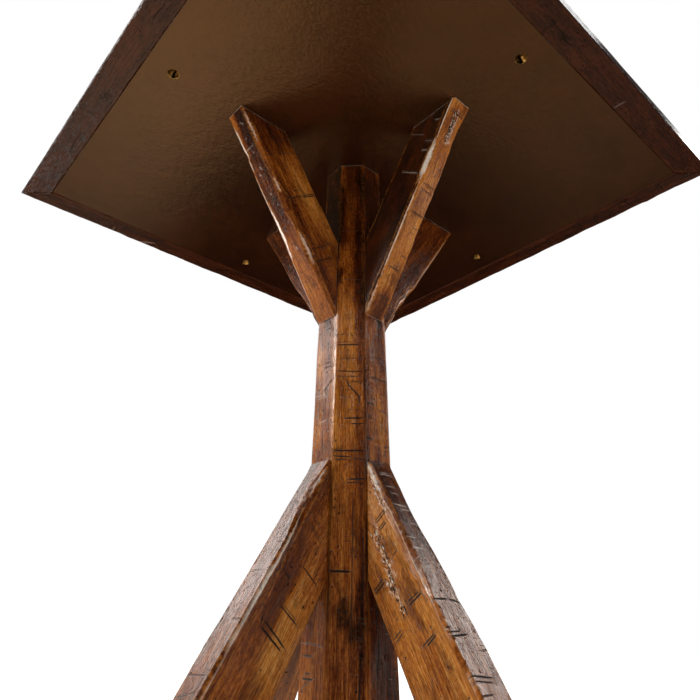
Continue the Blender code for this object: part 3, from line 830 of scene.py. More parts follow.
def brass(name):
    look = Look(name)
    place = look.place()
    haze = look.noise(place, 600.0, 4.0, 0.6)
    lines = look.noise(look.stretch(place, (300.0, 300.0, 4000.0)), 1.0, 2.0, 0.6)
    colour = look.ramp(haze, (0.35, srgb(104, 74, 36)), (0.65, srgb(196, 160, 98)))
    rough = look.math("ADD", look.times(haze, 0.25), 0.08)
    return look.finish(colour, rough, lines, 0.2, 0.0001, Metallic=1.0)


def nylon(name):
    look = Look(name)
    grit = look.noise(look.place(), 900.0, 3.0, 0.6)
    colour = look.ramp(grit, (0.3, srgb(36, 32, 30)), (0.7, srgb(58, 53, 49)))
    rough = look.math("ADD", look.times(grit, 0.2), 0.42)
    return look.finish(colour, rough, grit, 0.25, 0.0001)


# Chamfers read off the photograph: place along the limb, leg on the face before, leg on the face after
MEASURED_LEGS = {
    ("strut", "left", 2): (
        (-5, 2.5, 2.5), (10, 3.5, 3), (25, 3, 3), (45, 4, 3), (55, 6, 4.5), (65, 7.5, 5), (80, 6, 3.5),
        (88, 2.5, 2.5), (98, 2.5, 2.5), (108, 4, 4), (122, 7.5, 4.5), (140, 5, 3.5), (148, 2, 3),
        (170, 2, 3.5), (188, 2.5, 4), (198, 5, 4), (206, 6.5, 4), (222, 2.5, 3.5), (240, 0.8, 2.5),
    ),
    ("strut", "left", 3): (
        (-5, 1.2, 0.6), (20, 1.5, 0.7), (60, 1.8, 0.7), (70, 3, 1), (88, 6.5, 1.8), (110, 4.5, 1.5),
        (125, 2.5, 0.9), (132, 2.4, 0.8), (160, 2.3, 0.8), (168, 3, 1), (183, 3.6, 1.2), (186, 6, 1.8),
        (200, 4, 1.4), (225, 1.6, 0.7), (240, 0.8, 0.6),
    ),
    ("strut", "front", 3): (
        (-5, 2, 3), (8, 3, 5), (20, 4.3, 7), (38, 4, 6), (50, 2.4, 5), (100, 2.2, 5), (138, 2.4, 5.5),
        (145, 4, 7), (165, 4.2, 7.5), (182, 3.8, 6), (188, 1.6, 5), (205, 1.4, 6.5), (228, 1.3, 7),
        (240, 1.2, 6),
    ),
    ("strut", "front", 2): (
        (-5, 2, 2.5), (5, 4, 4.2), (30, 4.5, 4.5), (60, 5, 4.8), (90, 4.5, 4.5), (120, 4.5, 4.5),
        (150, 4, 3.8), (172, 4.5, 4), (186, 5, 5), (197, 6, 5.9), (212, 5.5, 5.8), (226, 3, 3.3),
        (240, 1.5, 2.2),
    ),
    ("strut", "right", 3): (
        (-5, 2, 3), (20, 5, 5), (45, 9, 8), (60, 9, 9), (80, 8, 8), (92, 3, 3.5), (130, 3, 3.5),
        (180, 2.5, 3), (240, 1.5, 2),
    ),
    ("strut", "rear", 2): (
        (-5, 2, 3), (20, 4, 5), (50, 5, 8), (75, 4, 8), (95, 1.5, 3), (120, 1.5, 3), (150, 2.5, 5),
        (188, 2, 5), (196, 1.5, 2), (240, 1, 1.5),
    ),
    ("brace", "left", 2): (
        (-5, 2, 2), (8, 3, 4), (20, 4, 8.5), (30, 5, 10), (40, 5, 8.5), (50, 5.5, 5), (62, 6, 1.6),
        (75, 6, 1.2), (100, 6.5, 1.2), (125, 6.5, 1.2), (180, 6, 2), (250, 7, 2.5), (330, 5, 3),
        (374, 2, 1.5),
    ),
    ("brace", "left", 3): (
        (-5, 1, 1.5), (10, 2.6, 3), (50, 2.3, 3), (100, 2, 2.5), (125, 0.9, 1.5), (180, 2.5, 3),
        (230, 1.5, 4), (300, 3, 3), (374, 1, 1),
    ),
    ("brace", "front", 3): (
        (-5, 1.5, 3), (6, 3.3, 5.5), (20, 3.8, 8), (40, 4.2, 7), (60, 4.3, 7), (80, 2.9, 6.5),
        (100, 1.2, 6.5), (125, 0.8, 6), (180, 2, 6), (250, 3, 5), (330, 2, 4), (374, 1, 2),
    ),
    ("brace", "front", 2): (
        (-5, 1, 1.5), (10, 2.5, 2.6), (20, 3, 3.2), (35, 4, 4.3), (45, 4.5, 4.8), (56, 4, 3.8),
        (70, 2.5, 2), (85, 2, 1.7), (95, 2.5, 2.6), (99, 3.5, 3.6), (103, 3, 2.6), (112, 1.5, 1.2),
        (125, 1, 0.8), (200, 3, 2.5), (280, 2, 3.5), (374, 1.5, 1.5),
    ),
}

# Faces of a strut or brace, and of the post as numbered round from the one facing between +X and +Y
INNER, PLUS_SIDE, OUTER, MINUS_SIDE = range(4)
LEFT_FACE, FRONT_FACE, RIGHT_FACE = 3, 4, 5

# Cuts read off the photograph: t, v, t, v, width, depth, tone (negative is pale, partly a painted glint).
# v is the place across the outer face, or out from it on a side face.
LIMB_CUTS = {
    ("strut", "left", OUTER): (
        (193, -12, 193.4, 6, 0.4, 0.12, -0.9),
    ),
    ("strut", "left", PLUS_SIDE): (
        (194, -47, 194.4, -30, 0.5, 0.2, 0.7), (181.5, -10, 182, 0, 0.7, 0.3, 0.8),
        (177.5, -47, 176, -2, 0.5, 0.2, 0.7), (131.5, -28, 131.8, -17, 0.7, 0.3, 0.8),
        (124.6, -48, 124.3, -28, 0.9, 0.4, 1), (121.8, -48, 122.8, -28, 0.9, 0.4, 1),
        (124.2, -28, 123.6, -8, 0.7, 0.3, 0.9), (67, -38, 66.4, -3, 0.6, 0.25, 0.8),
        (64.5, -30, 64, -20, 0.5, 0.2, 0.6), (52.5, -30, 53.8, -3, 0.8, 0.35, 0.9),
    ),
    ("strut", "front", OUTER): (
        (227, -10, 226.6, 8, 0.5, 0.2, 0.7), (223.8, -10, 223.2, 9, 0.9, 0.35, 1),
        (216, 2.5, 216.3, 6, 0.4, 0.2, 0.6), (161, 2.5, 161, 8.5, 0.8, 0.3, 1),
        (140.2, -9, 139.8, 9, 0.6, 0.25, 0.9), (138.3, -6, 138, 6, 0.5, 0.2, 0.7),
        (133.6, -5, 133.4, 9, 0.6, 0.25, 0.8), (108.8, -10, 108.6, 9, 0.7, 0.3, 0.9),
        (107.4, -6, 107, 3, 0.4, 0.2, 0.6), (94.6, 0, 94.4, 9, 0.6, 0.25, 0.8),
        (89, -1, 88.6, 7, 0.4, 0.2, 0.6), (64.8, -1, 64.4, 9, 0.6, 0.25, 0.9),
        (54.5, -5, 52.2, -1.2, 0.8, 0.3, 1), (52.4, -0.6, 54.6, 3, 0.8, 0.3, 1),
        (50.6, -10, 50.2, 7, 0.8, 0.35, 1), (22.5, -6, 22, 7, 0.5, 0.2, 0.6),
        (20, -4, 20.4, 6, 0.5, 0.2, 0.6),
    ),
    ("strut", "front", MINUS_SIDE): (
        (212, -17, 212.3, -10, 0.4, 0.12, -0.9), (194.6, -47, 194.2, -25, 0.3, 0.1, -0.35),
        (186.4, -19, 186, -8, 0.3, 0.1, -0.5), (175.6, -48, 174.6, -28, 0.35, 0.12, -0.6),
        (175, -17, 175.2, -9, 0.4, 0.12, -0.8), (163.4, -48, 163, -43, 0.4, 0.1, -0.8),
        (148.6, -33, 148.2, -9, 0.4, 0.12, -0.9), (135.4, -48, 135, -40, 0.5, 0.12, -0.9),
    ),
    ("brace", "left", OUTER): (
        (112.9, 0, 112.6, 12, 0.6, 0.2, -0.5), (111.4, 2, 111.2, 12, 0.5, 0.2, 0.5),
        (61.5, 8.5, 61.8, 12.5, 0.8, 0.3, 0.9), (117, -11, 116.6, -3, 0.5, 0.15, -0.5),
        (36, -2, 36.3, 2, 0.4, 0.1, -0.5), (83.5, -10, 83, 5, 0.3, 0.1, 0.3),
    ),
    ("brace", "left", PLUS_SIDE): (
        (105.6, -33, 106, -13.6, 0.9, 0.4, 1), (103.2, -35, 102.6, -13, 0.7, 0.3, 0.9),
        (105, -12.6, 101.5, -11.5, 1.0, 0.4, 1), (90.3, -35, 90.8, -18, 0.6, 0.25, 0.9),
        (88.9, -33, 89.2, -20, 0.4, 0.2, 0.6), (77.3, -17, 76.6, -9, 0.5, 0.2, 0.5),
        (66.6, -36, 66, -20, 0.6, 0.25, 0.8), (47, -25, 45.4, -5, 0.4, 0.15, 0.5),
        (44.8, -22, 43.6, -6, 0.4, 0.15, 0.4), (41, -20, 39.8, -7, 0.3, 0.12, 0.4),
    ),
    ("brace", "front", OUTER): (
        (118.6, -12.5, 118, 2, 0.8, 0.35, 1), (116.6, -12.5, 116.2, -3, 0.5, 0.2, 0.8),
        (114, -12.5, 113.6, -9, 0.5, 0.2, 0.7), (99.4, -12.5, 99.2, -0.3, 0.9, 0.35, 1),
        (99.3, 0.3, 101, 10, 0.9, 0.35, 1), (81, -12, 80.6, 3, 0.5, 0.15, -1),
        (75.4, -11, 74.6, -6, 0.5, 0.15, -1), (74.7, -5.5, 75.4, 0, 0.5, 0.15, -1),
        (68.8, -10, 68.4, 3, 0.5, 0.15, -1), (61.3, -10, 61.6, 0, 0.5, 0.15, -1),
        (50.8, 0, 51, 7, 0.5, 0.15, -1), (41, -2, 40.8, 8, 0.5, 0.15, -1),
        (37.6, -8, 38, 6, 0.5, 0.15, -1), (28.5, -4, 28.3, 4, 0.4, 0.15, -0.7),
        (23, -6, 22.6, 3, 0.4, 0.15, -0.8), (12.7, -6, 12.4, 6, 0.5, 0.15, -1),
        (11, -4, 11.2, 3, 0.4, 0.15, -0.8),
    ),
    ("brace", "front", MINUS_SIDE): (
        (111.6, -19, 111.8, -9, 0.8, 0.35, 0.9), (109.8, -22, 110.6, -10, 0.6, 0.25, 0.8),
        (96.6, -40, 96.9, -30, 0.5, 0.2, 0.7), (94.6, -40, 94.8, -30, 0.5, 0.2, 0.7),
        (90.2, -19, 91.6, -6, 0.9, 0.4, 1), (88.2, -19, 89.8, -8, 0.6, 0.25, 0.8),
        (68.6, -40, 69, -28, 0.8, 0.35, 1), (66.6, -40, 66.9, -29, 0.7, 0.3, 0.9),
        (63, -16, 63.2, -9, 0.6, 0.25, 0.8), (44.7, -17, 45, -8, 0.7, 0.3, 0.9),
        (43.2, -17, 43.5, -9, 0.6, 0.25, 0.8), (39.3, -17, 39.6, -4, 0.7, 0.3, 0.9),
        (37.6, -17, 37.9, -5, 0.6, 0.25, 0.8),
    ),
}

# Pale painted arris highlights: corner, place along, reach, width on the face before and on the face after,
# strength
PAINTED_ARRIS_HIGHLIGHTS = {
    ("strut", "left"): (
        (3, 203, 22, 3.5, 1, 0.9), (3, 175, 8, 3, 1, 0.6), (3, 97, 30, 5, 1, 0.9),
        (3, 145, 24, 1.4, 0.6, 0.8), (3, 40, 30, 1.2, 0.6, 0.5), (2, 212, 18, 2, 2.5, 0.45),
        (2, 140, 10, 2, 2, 0.45), (2, 70, 18, 3.5, 2, 0.45),
    ),
    ("strut", "front"): (
        (3, 163, 24, 2.5, 6, 0.9), (3, 215, 30, 0.7, 0.7, 0.9), (3, 90, 60, 0.6, 0.6, 0.8),
        (3, 18, 18, 2.2, 2, 0.4), (2, 155, 16, 0.8, 2.0, 0.5), (2, 60, 70, 0.6, 0.6, 0.4),
    ),
    ("strut", "right"): ((3, 66, 22, 2, 3, 0.8), (3, 30, 24, 0.8, 0.8, 0.9), (3, 150, 70, 0.6, 0.6, 0.5)),
    ("strut", "rear"): ((2, 45, 40, 0.8, 3, 0.5),),
    ("brace", "left"): ((2, 84, 46, 0.9, 0.8, 1), (2, 200, 80, 0.8, 0.8, 0.7), (2, 20, 12, 1, 2, 0.7)),
    ("brace", "front"): ((3, 14, 18, 1.2, 3, 0.8), (3, 75, 50, 0.6, 0.6, 0.5), (3, 220, 90, 0.8, 0.8, 0.5)),
}

# Other marks that the photograph shows: kind, face, then a row for each. Places are given as for cuts.
# crack: path, width, depth, tone. scar: path, width, count, share of pale flecks. tone: the face's tone.
# shade and burn: t, v, reach along, reach across, strength. pit: t, v, radius.
LIMB_DETAILS = {
    ("strut", "left"): (
        ("crack", PLUS_SIDE, (
            ((218, -24.5), (205, -25), (192, -27), (176, -29), (162, -24.5), (156, -26)), 1.0, 0.5, 1.0,
        )),
        ("scar", OUTER, (((232, 2), (200, 1), (160, -0.5), (120, 0.5), (70, 3)), 9, 110, 0.1)),
        ("tone", PLUS_SIDE, -0.2),
        ("shade", PLUS_SIDE, (225, -24, 42, 40, -1.6), (128, -37, 34, 14, 0.9), (85, -40, 25, 8, 0.4),
         (60, -8, 75, 8, -1.2)),
        ("shade", OUTER, (168, 1, 62, 12, -1.6), (110, 6, 60, 4, -0.5), (215, -7, 26, 3.5, 0.9),
         (25, -1, 42, 6, 0.2)),
    ),
    ("strut", "front"): (
        ("scar", OUTER, (((226, -2), (203, -2.2), (188, -1.2)), 5, 120)),
        ("crack", OUTER, (((222, 1.4), (210, 1.6), (192, 1.3)), 0.6, 0.1, -0.9),
         (((176, -1.5), (165, -2), (153, -1)), 0.6, 0.3, 0.9)),
        ("burn", OUTER, (206, -2, 20, 4, 0.6)),
        ("tone", MINUS_SIDE, -3.0),
        ("tone", OUTER, 0.8),
        # The shade at 8 darkens the foot of the outer face: painted shade
        ("shade", OUTER, (8, 0, 18, 14, -2.2), (216, -4, 14, 6, -1.0), (178, -5, 24, 4, -0.7)),
    ),
    ("strut", "right"): (("tone", MINUS_SIDE, -1.3),),
    ("strut", "rear"): (("tone", PLUS_SIDE, -1.3),),
    ("brace", "left"): (
        ("tone", OUTER, -0.8),
        ("scar", OUTER, (((34, 6.5), (26, 9), (17, 12)), 5, 30)),
        ("crack", PLUS_SIDE, (((118, -22), (92, -24), (70, -25.5)), 0.5, 0.15, 0.3)),
        ("burn", PLUS_SIDE, (83, -28, 3, 3, 0.7)),
        ("shade", PLUS_SIDE, (60, -8, 80, 9, -1.1), (95, -34, 30, 12, 1.2), (50, -22, 30, 7, 0.5)),
    ),
    ("brace", "front"): (
        ("scar", MINUS_SIDE, (((90, -24), (78, -24.3), (70, -25)), 4.5, 90),
         (((72, -22.5), (56, -20.5), (40, -20)), 5.5, 120), (((38, -4.5), (25, -5), (8, -5)), 6, 80)),
        ("tone", MINUS_SIDE, 0.9),
        ("tone", OUTER, -0.4),
        ("shade", OUTER, (35, 0, 45, 14, -0.9)),
    ),
}

# Cuts in the post, as for the limbs, with t from the floor and v from the middle of the face
POST_CUTS = {
    FRONT_FACE: (
        (526, -9, 526, 6, 0.5, 0.2, 0.7), (467, -9, 467, 9, 0.5, 0.2, 0.5),
        (429, -3, 432, 3, 0.5, 0.2, 0.6), (427, -9, 427, 8, 0.4, 0.15, 0.5),
        (411, -12, 411, -3, 0.5, 0.2, 0.6),
        (401.5, -13, 401.3, 9, 0.9, 0.4, 1), (404, -12, 404.2, 4, 0.4, 0.15, 0.5),
        (389, -12, 389, 10, 0.4, 0.15, 0.5), (378.3, -12, 377.8, 13, 0.6, 0.3, 0.9),
        (374, -12, 373.5, 13, 0.5, 0.2, 0.6), (369.5, 0, 369, 13, 0.5, 0.2, 0.6),
        (358.5, -8, 357.5, -5.5, 1.0, 0.4, 1), (357, -4, 356.5, 0.5, 0.4, 0.2, 0.6),
        (347, -3, 346.5, 13, 0.4, 0.15, 0.5), (340.6, -5, 340.8, 13, 0.8, 0.35, 1),
        (336.5, 0, 336.6, 13, 0.6, 0.25, 0.8), (317.5, -12, 317.4, 13, 0.8, 0.35, 1),
        (314, -13, 313.2, 2, 0.7, 0.3, 0.8), (311.8, -13, 311.3, 0, 0.5, 0.2, 0.7),
        (312.2, 3, 311.4, 13, 0.6, 0.25, 0.7), (298.4, -1, 298.8, 13, 0.8, 0.35, 0.9),
        (296, -2, 296.6, 6, 0.5, 0.2, 0.8), (256, -12.5, 255.6, -10.5, 0.9, 0.4, 1),
        (245.6, -13, 245.2, 2.4, 1.1, 0.45, 1), (222.5, 5, 222, 12, 0.5, 0.2, 0.6),
        (220, 6, 219.6, 12.5, 0.4, 0.2, 0.5),
    ),
    LEFT_FACE: (
        (420, 0, 420.2, 8, 0.6, 0.2, 0.7), (389.5, -12, 388, 10, 0.5, 0.2, 0.5),
        (385, -2, 384.4, 9, 0.6, 0.25, 0.9), (363, -12, 362, 0, 0.4, 0.2, -0.7),
        (360, -10, 360.4, 2, 0.3, 0.15, -0.6), (341, -5, 341.4, 5, 0.4, 0.15, -0.8),
    ),
    RIGHT_FACE: (
        (415.5, 3, 415, 13, 0.6, 0.25, 0.8), (393.5, -5, 392.8, 13, 0.6, 0.25, 0.8),
        (389.6, 0, 389.2, 10, 0.4, 0.2, 0.6), (386, 8, 385.6, 13, 0.4, 0.2, 0.6),
        (375, -8, 374.6, 13, 0.7, 0.3, 0.8), (353.3, -12, 352.8, -2, 0.7, 0.3, 0.9),
        (349.8, 0, 349, 13, 0.5, 0.2, 0.7), (342, -12, 341.6, -3, 0.5, 0.2, 0.7),
        (326.5, -13, 326.8, -5, 0.9, 0.35, 1), (323, 5, 323.5, 13, 0.5, 0.2, 0.7),
        (320, 5, 320.4, 13, 0.5, 0.2, 0.7), (317, 4, 317, 11, 0.4, 0.15, 0.5),
    ),
}

# Shades at 560 and 545 darken the post under the panel, at 240 the right face beside the brace: painted
# shade
POST_DETAILS = (
    ("shade", FRONT_FACE, (560, 0, 105, 14, -1.0), (520, 9, 130, 5, -1.4), (530, -4, 60, 4, 0.5),
     (415, -2, 40, 8, 0.4), (350, -6, 90, 9, 0.6), (340, 10, 120, 4, -0.6)),
    ("shade", LEFT_FACE, (560, 0, 105, 14, -1.0), (545, 0, 95, 16, -3.0), (385, -9, 20, 5, 1.0),
     (340, -6, 22, 6, 0.6), (400, 2, 60, 5, -0.8)),
    ("shade", RIGHT_FACE, (560, 0, 105, 14, -1.0), (545, 0, 95, 16, -1.8), (240, 0, 70, 16, -2.0),
     (400, 8, 45, 5, -0.9), (345, 2, 35, 5, 0.7), (345, -11, 60, 3, -1.4)),
    ("crack", FRONT_FACE, (((372, -3.5), (366, -0.5), (361, 4.5), (357.5, 7.8), (350, 8.3)), 0.8, 0.4, 1.0),
     (((290, 3.2), (250, 3.0), (212, 2.8)), 0.5, 0.25, 0.6), (((270, 10.6), (228, 10.2)), 0.4, 0.2, 0.5)),
    ("crack", LEFT_FACE, (((364.5, -1), (368, 3), (370.5, 7), (372.3, 11.5)), 0.9, 0.4, 1.0),
     (((335, -0.2), (325, 0.6), (316, 1.2)), 0.7, 0.35, 0.8)),
    ("pit", FRONT_FACE, (306.5, -3.2, 0.9), (305.2, -2.0, 0.6), (307.8, -1.5, 0.5), (304.6, -3.9, 0.5),
     (294, -11.5, 0.4), (294.3, -9.2, 0.35), (293.6, -7.4, 0.4), (294.4, -5, 0.35), (293.8, -3, 0.4),
     (253, -5, 0.4)),
    # The rows at 250 on both arrises are painted shadow lines where the braces meet the post
    ("burn", FRONT_FACE, (226, -2, 8, 10, 1.0), (216, 6, 8, 9, 1.0), (220, 0, 6, 10, 1.0),
     (418, 5, 12, 1.2, 0.6), (495, 3.6, 10, 1.2, 0.5), (450, 6, 11, 1.4, 0.6), (335, 6.5, 16, 1.6, 0.5),
     (475, 3, 2, 1.5, 0.7), (475, -4, 1.5, 1.5, 0.6), (464, 6, 2, 4, 0.8), (389, -2, 4, 3, 0.8),
     (411, 0, 2.5, 3, 0.6), (455, -4, 1.5, 1.2, 0.6), (260, 8.5, 60, 5, 0.35), (590, 0, 70, 14, 0.45),
     (540, 8, 60, 5, 0.4), (250, -12.8, 62, 1.4, 1.0), (250, 12.8, 62, 1.4, 1.0)),
    ("burn", RIGHT_FACE, (355, -6.5, 18, 3.5, 0.55), (405, 1.5, 25, 1.2, 0.4)),
)
# The arris before the post's front face, as for the limbs' chamfers
POST_ARRIS = (
    (20, 1.2, 1.2), (220, 1.4, 1.2), (318, 1.6, 1.2), (335, 4.0, 1.2), (370, 5.0, 1.4), (395, 8.0, 1.8),
    (428, 9.0, 2.0), (436, 5.0, 1.6), (445, 1.8, 1.2), (620, 1.2, 1.0),
)

# Where the photograph shows the post's own marks, so that no random ones join them there
POST_SEEN = ((FRONT_FACE, 205, 630), (LEFT_FACE, 300, 630), (RIGHT_FACE, 300, 630))


def add_cuts(bar, cuts, across=lambda face, v: v):
    for face, rows in cuts:
        for t0, v0, t1, v1, *rest in rows:
            bar.crack(face, ((t0, across(face, v0)), (t1, across(face, v1))), *rest)


def add_details(bar, details, across=lambda face, v: v):
    add = {"crack": bar.crack, "scar": bar.scar, "shade": bar.shade, "burn": bar.burn, "pit": bar.pit}
    for kind, face, *rows in details:
        if kind == "tone":
            bar.tones[face] = rows[0]
        elif kind in ("crack", "scar"):
            for path, *rest in rows:
                add[kind](face, [(t, across(face, v)) for t, v in path], *rest)
        else:
            for t, v, *rest in rows:
                add[kind](face, t, across(face, v), *rest)


def make_post(look):
    corner = POST_HALF / math.cos(math.pi / 8)
    angles = [(place + 0.5) * math.pi / 4 for place in range(8)]
    corners = [(corner * math.cos(angle), corner * math.sin(angle)) for angle in angles]
    place = ((0.0, 0.0, 0.0), UP, (1.0, 0.0, 0.0), (0.0, 1.0, 0.0))
    bar = Timber("hewn_post", place, corners, ((UP * POST_LOW, UP), (UP * (UNDER - GAP), UP)), 5)
    bar.legs = [bar.wavering_legs(0.9, 1.2, 14) for _ in corners]
    bar.legs[FRONT_FACE] = POST_ARRIS
    bar.rub_and_glint = 0.3
    bar.bulge = 0.03
    bar.end_ease = (3.0, 1.0)
    # Painted highlight along the post's joint with the panel
    bar.joint_highlight_bands = (0.0, 0.6)
    add_cuts(bar, POST_CUTS.items())
    add_details(bar, POST_DETAILS)
    bar.scatter(range(8), 25, 615, 14, POST_SEEN)
    bar.build(look, "post_wood", "post")


def limb(kind, side):
    """A strut or brace with its chamfers: its foot on the post, its head on the panel or over the floor."""
    sizes = LIMBS[kind]
    order = SIDES.index(side)
    turn = order * math.pi / 2
    away = np.array((math.cos(turn), math.sin(turn), 0.0))
    foot = away * SEAT + UP * (UNDER - sizes["drop"])
    head = away * sizes["reach"] + UP * sizes["height"]
    along = (head - foot) / np.linalg.norm(head - foot)
    across = np.cross(UP, away)
    out = np.cross(across, along)
    if out @ away < 0.0:
        out = -out
    depth = sizes["depth"]
    corners = ((-LIMB_HALF, -depth), (LIMB_HALF, -depth), (LIMB_HALF, 0.0), (-LIMB_HALF, 0.0))
    ends = ((foot, away), (head, UP))
    seed = sizes["seed"] + order * LIMB_SEED_STEP
    bar = Timber(f"hewn_{kind}_{side}", (foot, along, across, out), corners, ends, seed)
    for corner in range(4):
        arris = (0.9, 0.8, 6) if corner < 2 else (1.8, 5.0, sizes["lobes"])
        bar.legs[corner] = bar.wavering_legs(*arris)
    for corner in range(4):
        bar.legs[corner] = MEASURED_LEGS.get((kind, side, corner), bar.legs[corner])
    return bar


def make_limb(kind, side, look):
    bar = limb(kind, side)
    half = LIMBS[kind]["depth"] / 2
    turned = {OUTER: (-1, 0.0), PLUS_SIDE: (1, half), MINUS_SIDE: (-1, -half)}

    def across(face, v):
        way, shift = turned[face]
        return way * v + shift

    cuts = [(face, rows) for (*which, face), rows in LIMB_CUTS.items() if which == [kind, side]]
    add_cuts(bar, cuts, across)
    keep_out = [(face, -10, LIMBS[kind]["seen"]) for face, _ in cuts]
    bar.scatter((OUTER, PLUS_SIDE, MINUS_SIDE, INNER), 5, LIMBS[kind]["marked"], 19, keep_out)
    for row in PAINTED_ARRIS_HIGHLIGHTS.get((kind, side), ()):
        bar.paint_arris_highlight(*row)
    add_details(bar, LIMB_DETAILS.get((kind, side), ()), across)
    if kind == "strut":
        bar.end_ease = (0.8, 1.6)
        # Painted highlights along the joint lines at the strut's foot and head
        bar.joint_highlight_bands = (0.8, 1.0)
    bar.build(look, "limb_wood", f"{kind}_{side}")


def make_edging(look):
    inner, outer, low, high = EDGING_START, EDGING_END, TOP_LOW, TABLE_HEIGHT
    corners = ((inner, low), (outer, low), (outer, high), (inner, high))
    for order, side in enumerate(SIDES):
        turn = order * math.pi / 2
        away = np.array((math.cos(turn), math.sin(turn), 0.0))
        along = np.array((-math.sin(turn), math.cos(turn), 0.0))
        mitres = [(way * along - away) / math.sqrt(2.0) for way in (-1.0, 1.0)]
        ends = [(-mitre * GAP / 2, mitre) for mitre in mitres]
        place = ((0.0, 0.0, 0.0), along, away, UP)
        bar = Timber(f"hewn_edging_{side}", place, corners, ends, 90 + order, 3.2)
        arrises = ((0.6, 0.5), (1.8, 1.6), (2.0, 2.2), (0.6, 0.5))
        bar.legs = [bar.wavering_legs(base, swell, 9) for base, swell in arrises]
        bar.swell = 0.2
        bar.scatter((1, 2), -290, 290, 24)
        bar.scatter((0,), -290, 290, 40)
        bar.build(look, "edging_wood", f"edging_{side}")


def make_boards(look):
    for number, (low, high) in enumerate(BOARDS, start=1):
        middle = round((low[1] + high[1]) / 2, 2)
        half = round((high[1] - low[1]) / 2, 2)
        thick = TABLE_HEIGHT - low[2]
        corners = ((-half, 0.0), (half, 0.0), (half, thick), (-half, thick))
        along = np.array((1.0, 0.0, 0.0))
        place = ((0.0, middle, low[2]), along, (0.0, 1.0, 0.0), UP)
        ends = ((along * low[0], along), (along * high[0], along))
        bar = Timber(f"hewn_board_{number}", place, corners, ends, 120 + number, 4.0)
        arrises = ((0.8, 0.3), (0.8, 0.3), (1.2, 1.2), (1.2, 1.2))
        bar.legs = [bar.wavering_legs(base, swell, 9) for base, swell in arrises]
        bar.swell = 0.35
        bar.end_ease = (0.9, 0.9)
        bar.scatter((2,), -265, 265, 11)
        bar.build(look, "board_wood", f"top_board_{number}")


def lathe(name, profile, node, look):
    """Turns a closed outline of (radius, height) points, in millimetres, about a CAD node's axis."""
    steps = 48
    turns = [2 * math.pi * step / steps for step in range(steps)]
    bm = bmesh.new()
    rings = []
    for radius, height in profile:
        places = [(radius * math.cos(a) * MM, radius * math.sin(a) * MM, height * MM) for a in turns]
        rings.append([bm.verts.new(place) for place in (places if radius > 0.0 else places[:1])])
    pairs = list(zip(rings, rings[1:]))
    if len(rings[0]) > 1:
        pairs.append((rings[-1], rings[0]))
    for low, high in pairs:
        for step in range(steps):
            after = (step + 1) % steps
            corners = ((low, step), (low, after), (high, after), (high, step))
            ring = dict.fromkeys(verts[place % len(verts)] for verts, place in corners)
            bm.faces.new(list(ring)).smooth = True
    bmesh.ops.recalc_face_normals(bm, faces=bm.faces)
    for edge in bm.edges:
        if edge.calc_face_angle(0.0) > math.radians(40):
            edge.smooth = False
    low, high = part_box(node)
    middle = (low + high) / 2
    bmesh.ops.translate(bm, verts=bm.verts, vec=Vector((middle.x, middle.y, low.z)))
    add_piece(name, bm, look, node)


def make_inserts(look):
    """Dished flanges round a threaded bore, flush with the underside."""
    flange, thick, bore, body, length = 6.4, 1.4, 3.4, 5.3, 13.0
    threads = []
    height, pitch = 2.9, 1.25
    while height < length - 1.4:
        threads += [(bore, height), (bore + 0.55, height + 0.6), (bore + 0.55, height + 0.75)]
        height += pitch
    profile = (
        [(flange - 0.2, 0.0), (flange - 0.5, 0.0), (flange - 0.8, 0.2)]
        + [(bore + 1.0, 1.9), (bore + 0.4, 2.3)]
        + threads
        + [(bore, length - 0.2), (bore + 0.2, length), (body, length)]
        + [(body, thick), (flange, thick), (flange, 0.25)]
    )
    for side in SIDES:
        lathe(f"brass_insert_{side}", profile, f"threaded_insert_{side}", look)


def make_glides(look):
    profile = (
        (0.0, 0.0), (6.6, 0.0), (7.4, 0.12), (8.2, 0.5), (8.75, 1.1), (9.0, 1.9), (9.0, 3.6), (8.8, 4.0),
        (1.6, 4.0), (1.6, 16.7), (0.8, 18.3), (0.0, 18.3),
    )
    for side in SIDES:
        lathe(f"foot_glide_{side}", profile, f"glide_{side}", look)


def put(name, data, place):
    """Adds a lamp or the camera to the scene."""
    thing = bpy.data.objects.new(name, data)
    bpy.context.scene.collection.objects.link(thing)
    thing.matrix_world = place
    return thing


def make_camera():
    data = bpy.data.cameras.new("camera")
    data.sensor_width = SENSOR
    data.lens = SENSOR * FOCAL_PIXELS / PICTURE
    data.shift_x = (PICTURE / 2 - AXIS_PIXELS[0]) / PICTURE
    data.shift_y = (AXIS_PIXELS[1] - PICTURE / 2) / PICTURE
    data.clip_start = 0.01
    turn = Matrix.Rotation(-CAMERA_HEADING, 4, "Z")
    rise = Matrix.Rotation(math.pi / 2 + CAMERA_RISE, 4, "X")
    roll = Matrix.Rotation(CAMERA_ROLL, 4, "Z")
    place = Matrix.Translation(CAMERA_PLACE) @ turn @ rise @ roll
    bpy.context.scene.camera = put("camera", data, place)


# The painted pool of light that glows on the floor for gloss alone, in metres from the table's middle
POOL_ASIDE = (-0.754, 0.657, 0.0)
POOL_COLOUR = (1.0, 0.84, 0.62, 1.0)
POOL_STRENGTH = 1.16
POOL_NEAR = 0.5
POOL_NEAR_EDGE = 0.12
POOL_REACH = 1.5
FLOOR_SIDE = 40.0
FLOOR_COLOUR = (0.8, 0.8, 0.79, 1.0)
FLOOR_FADE = 5.0


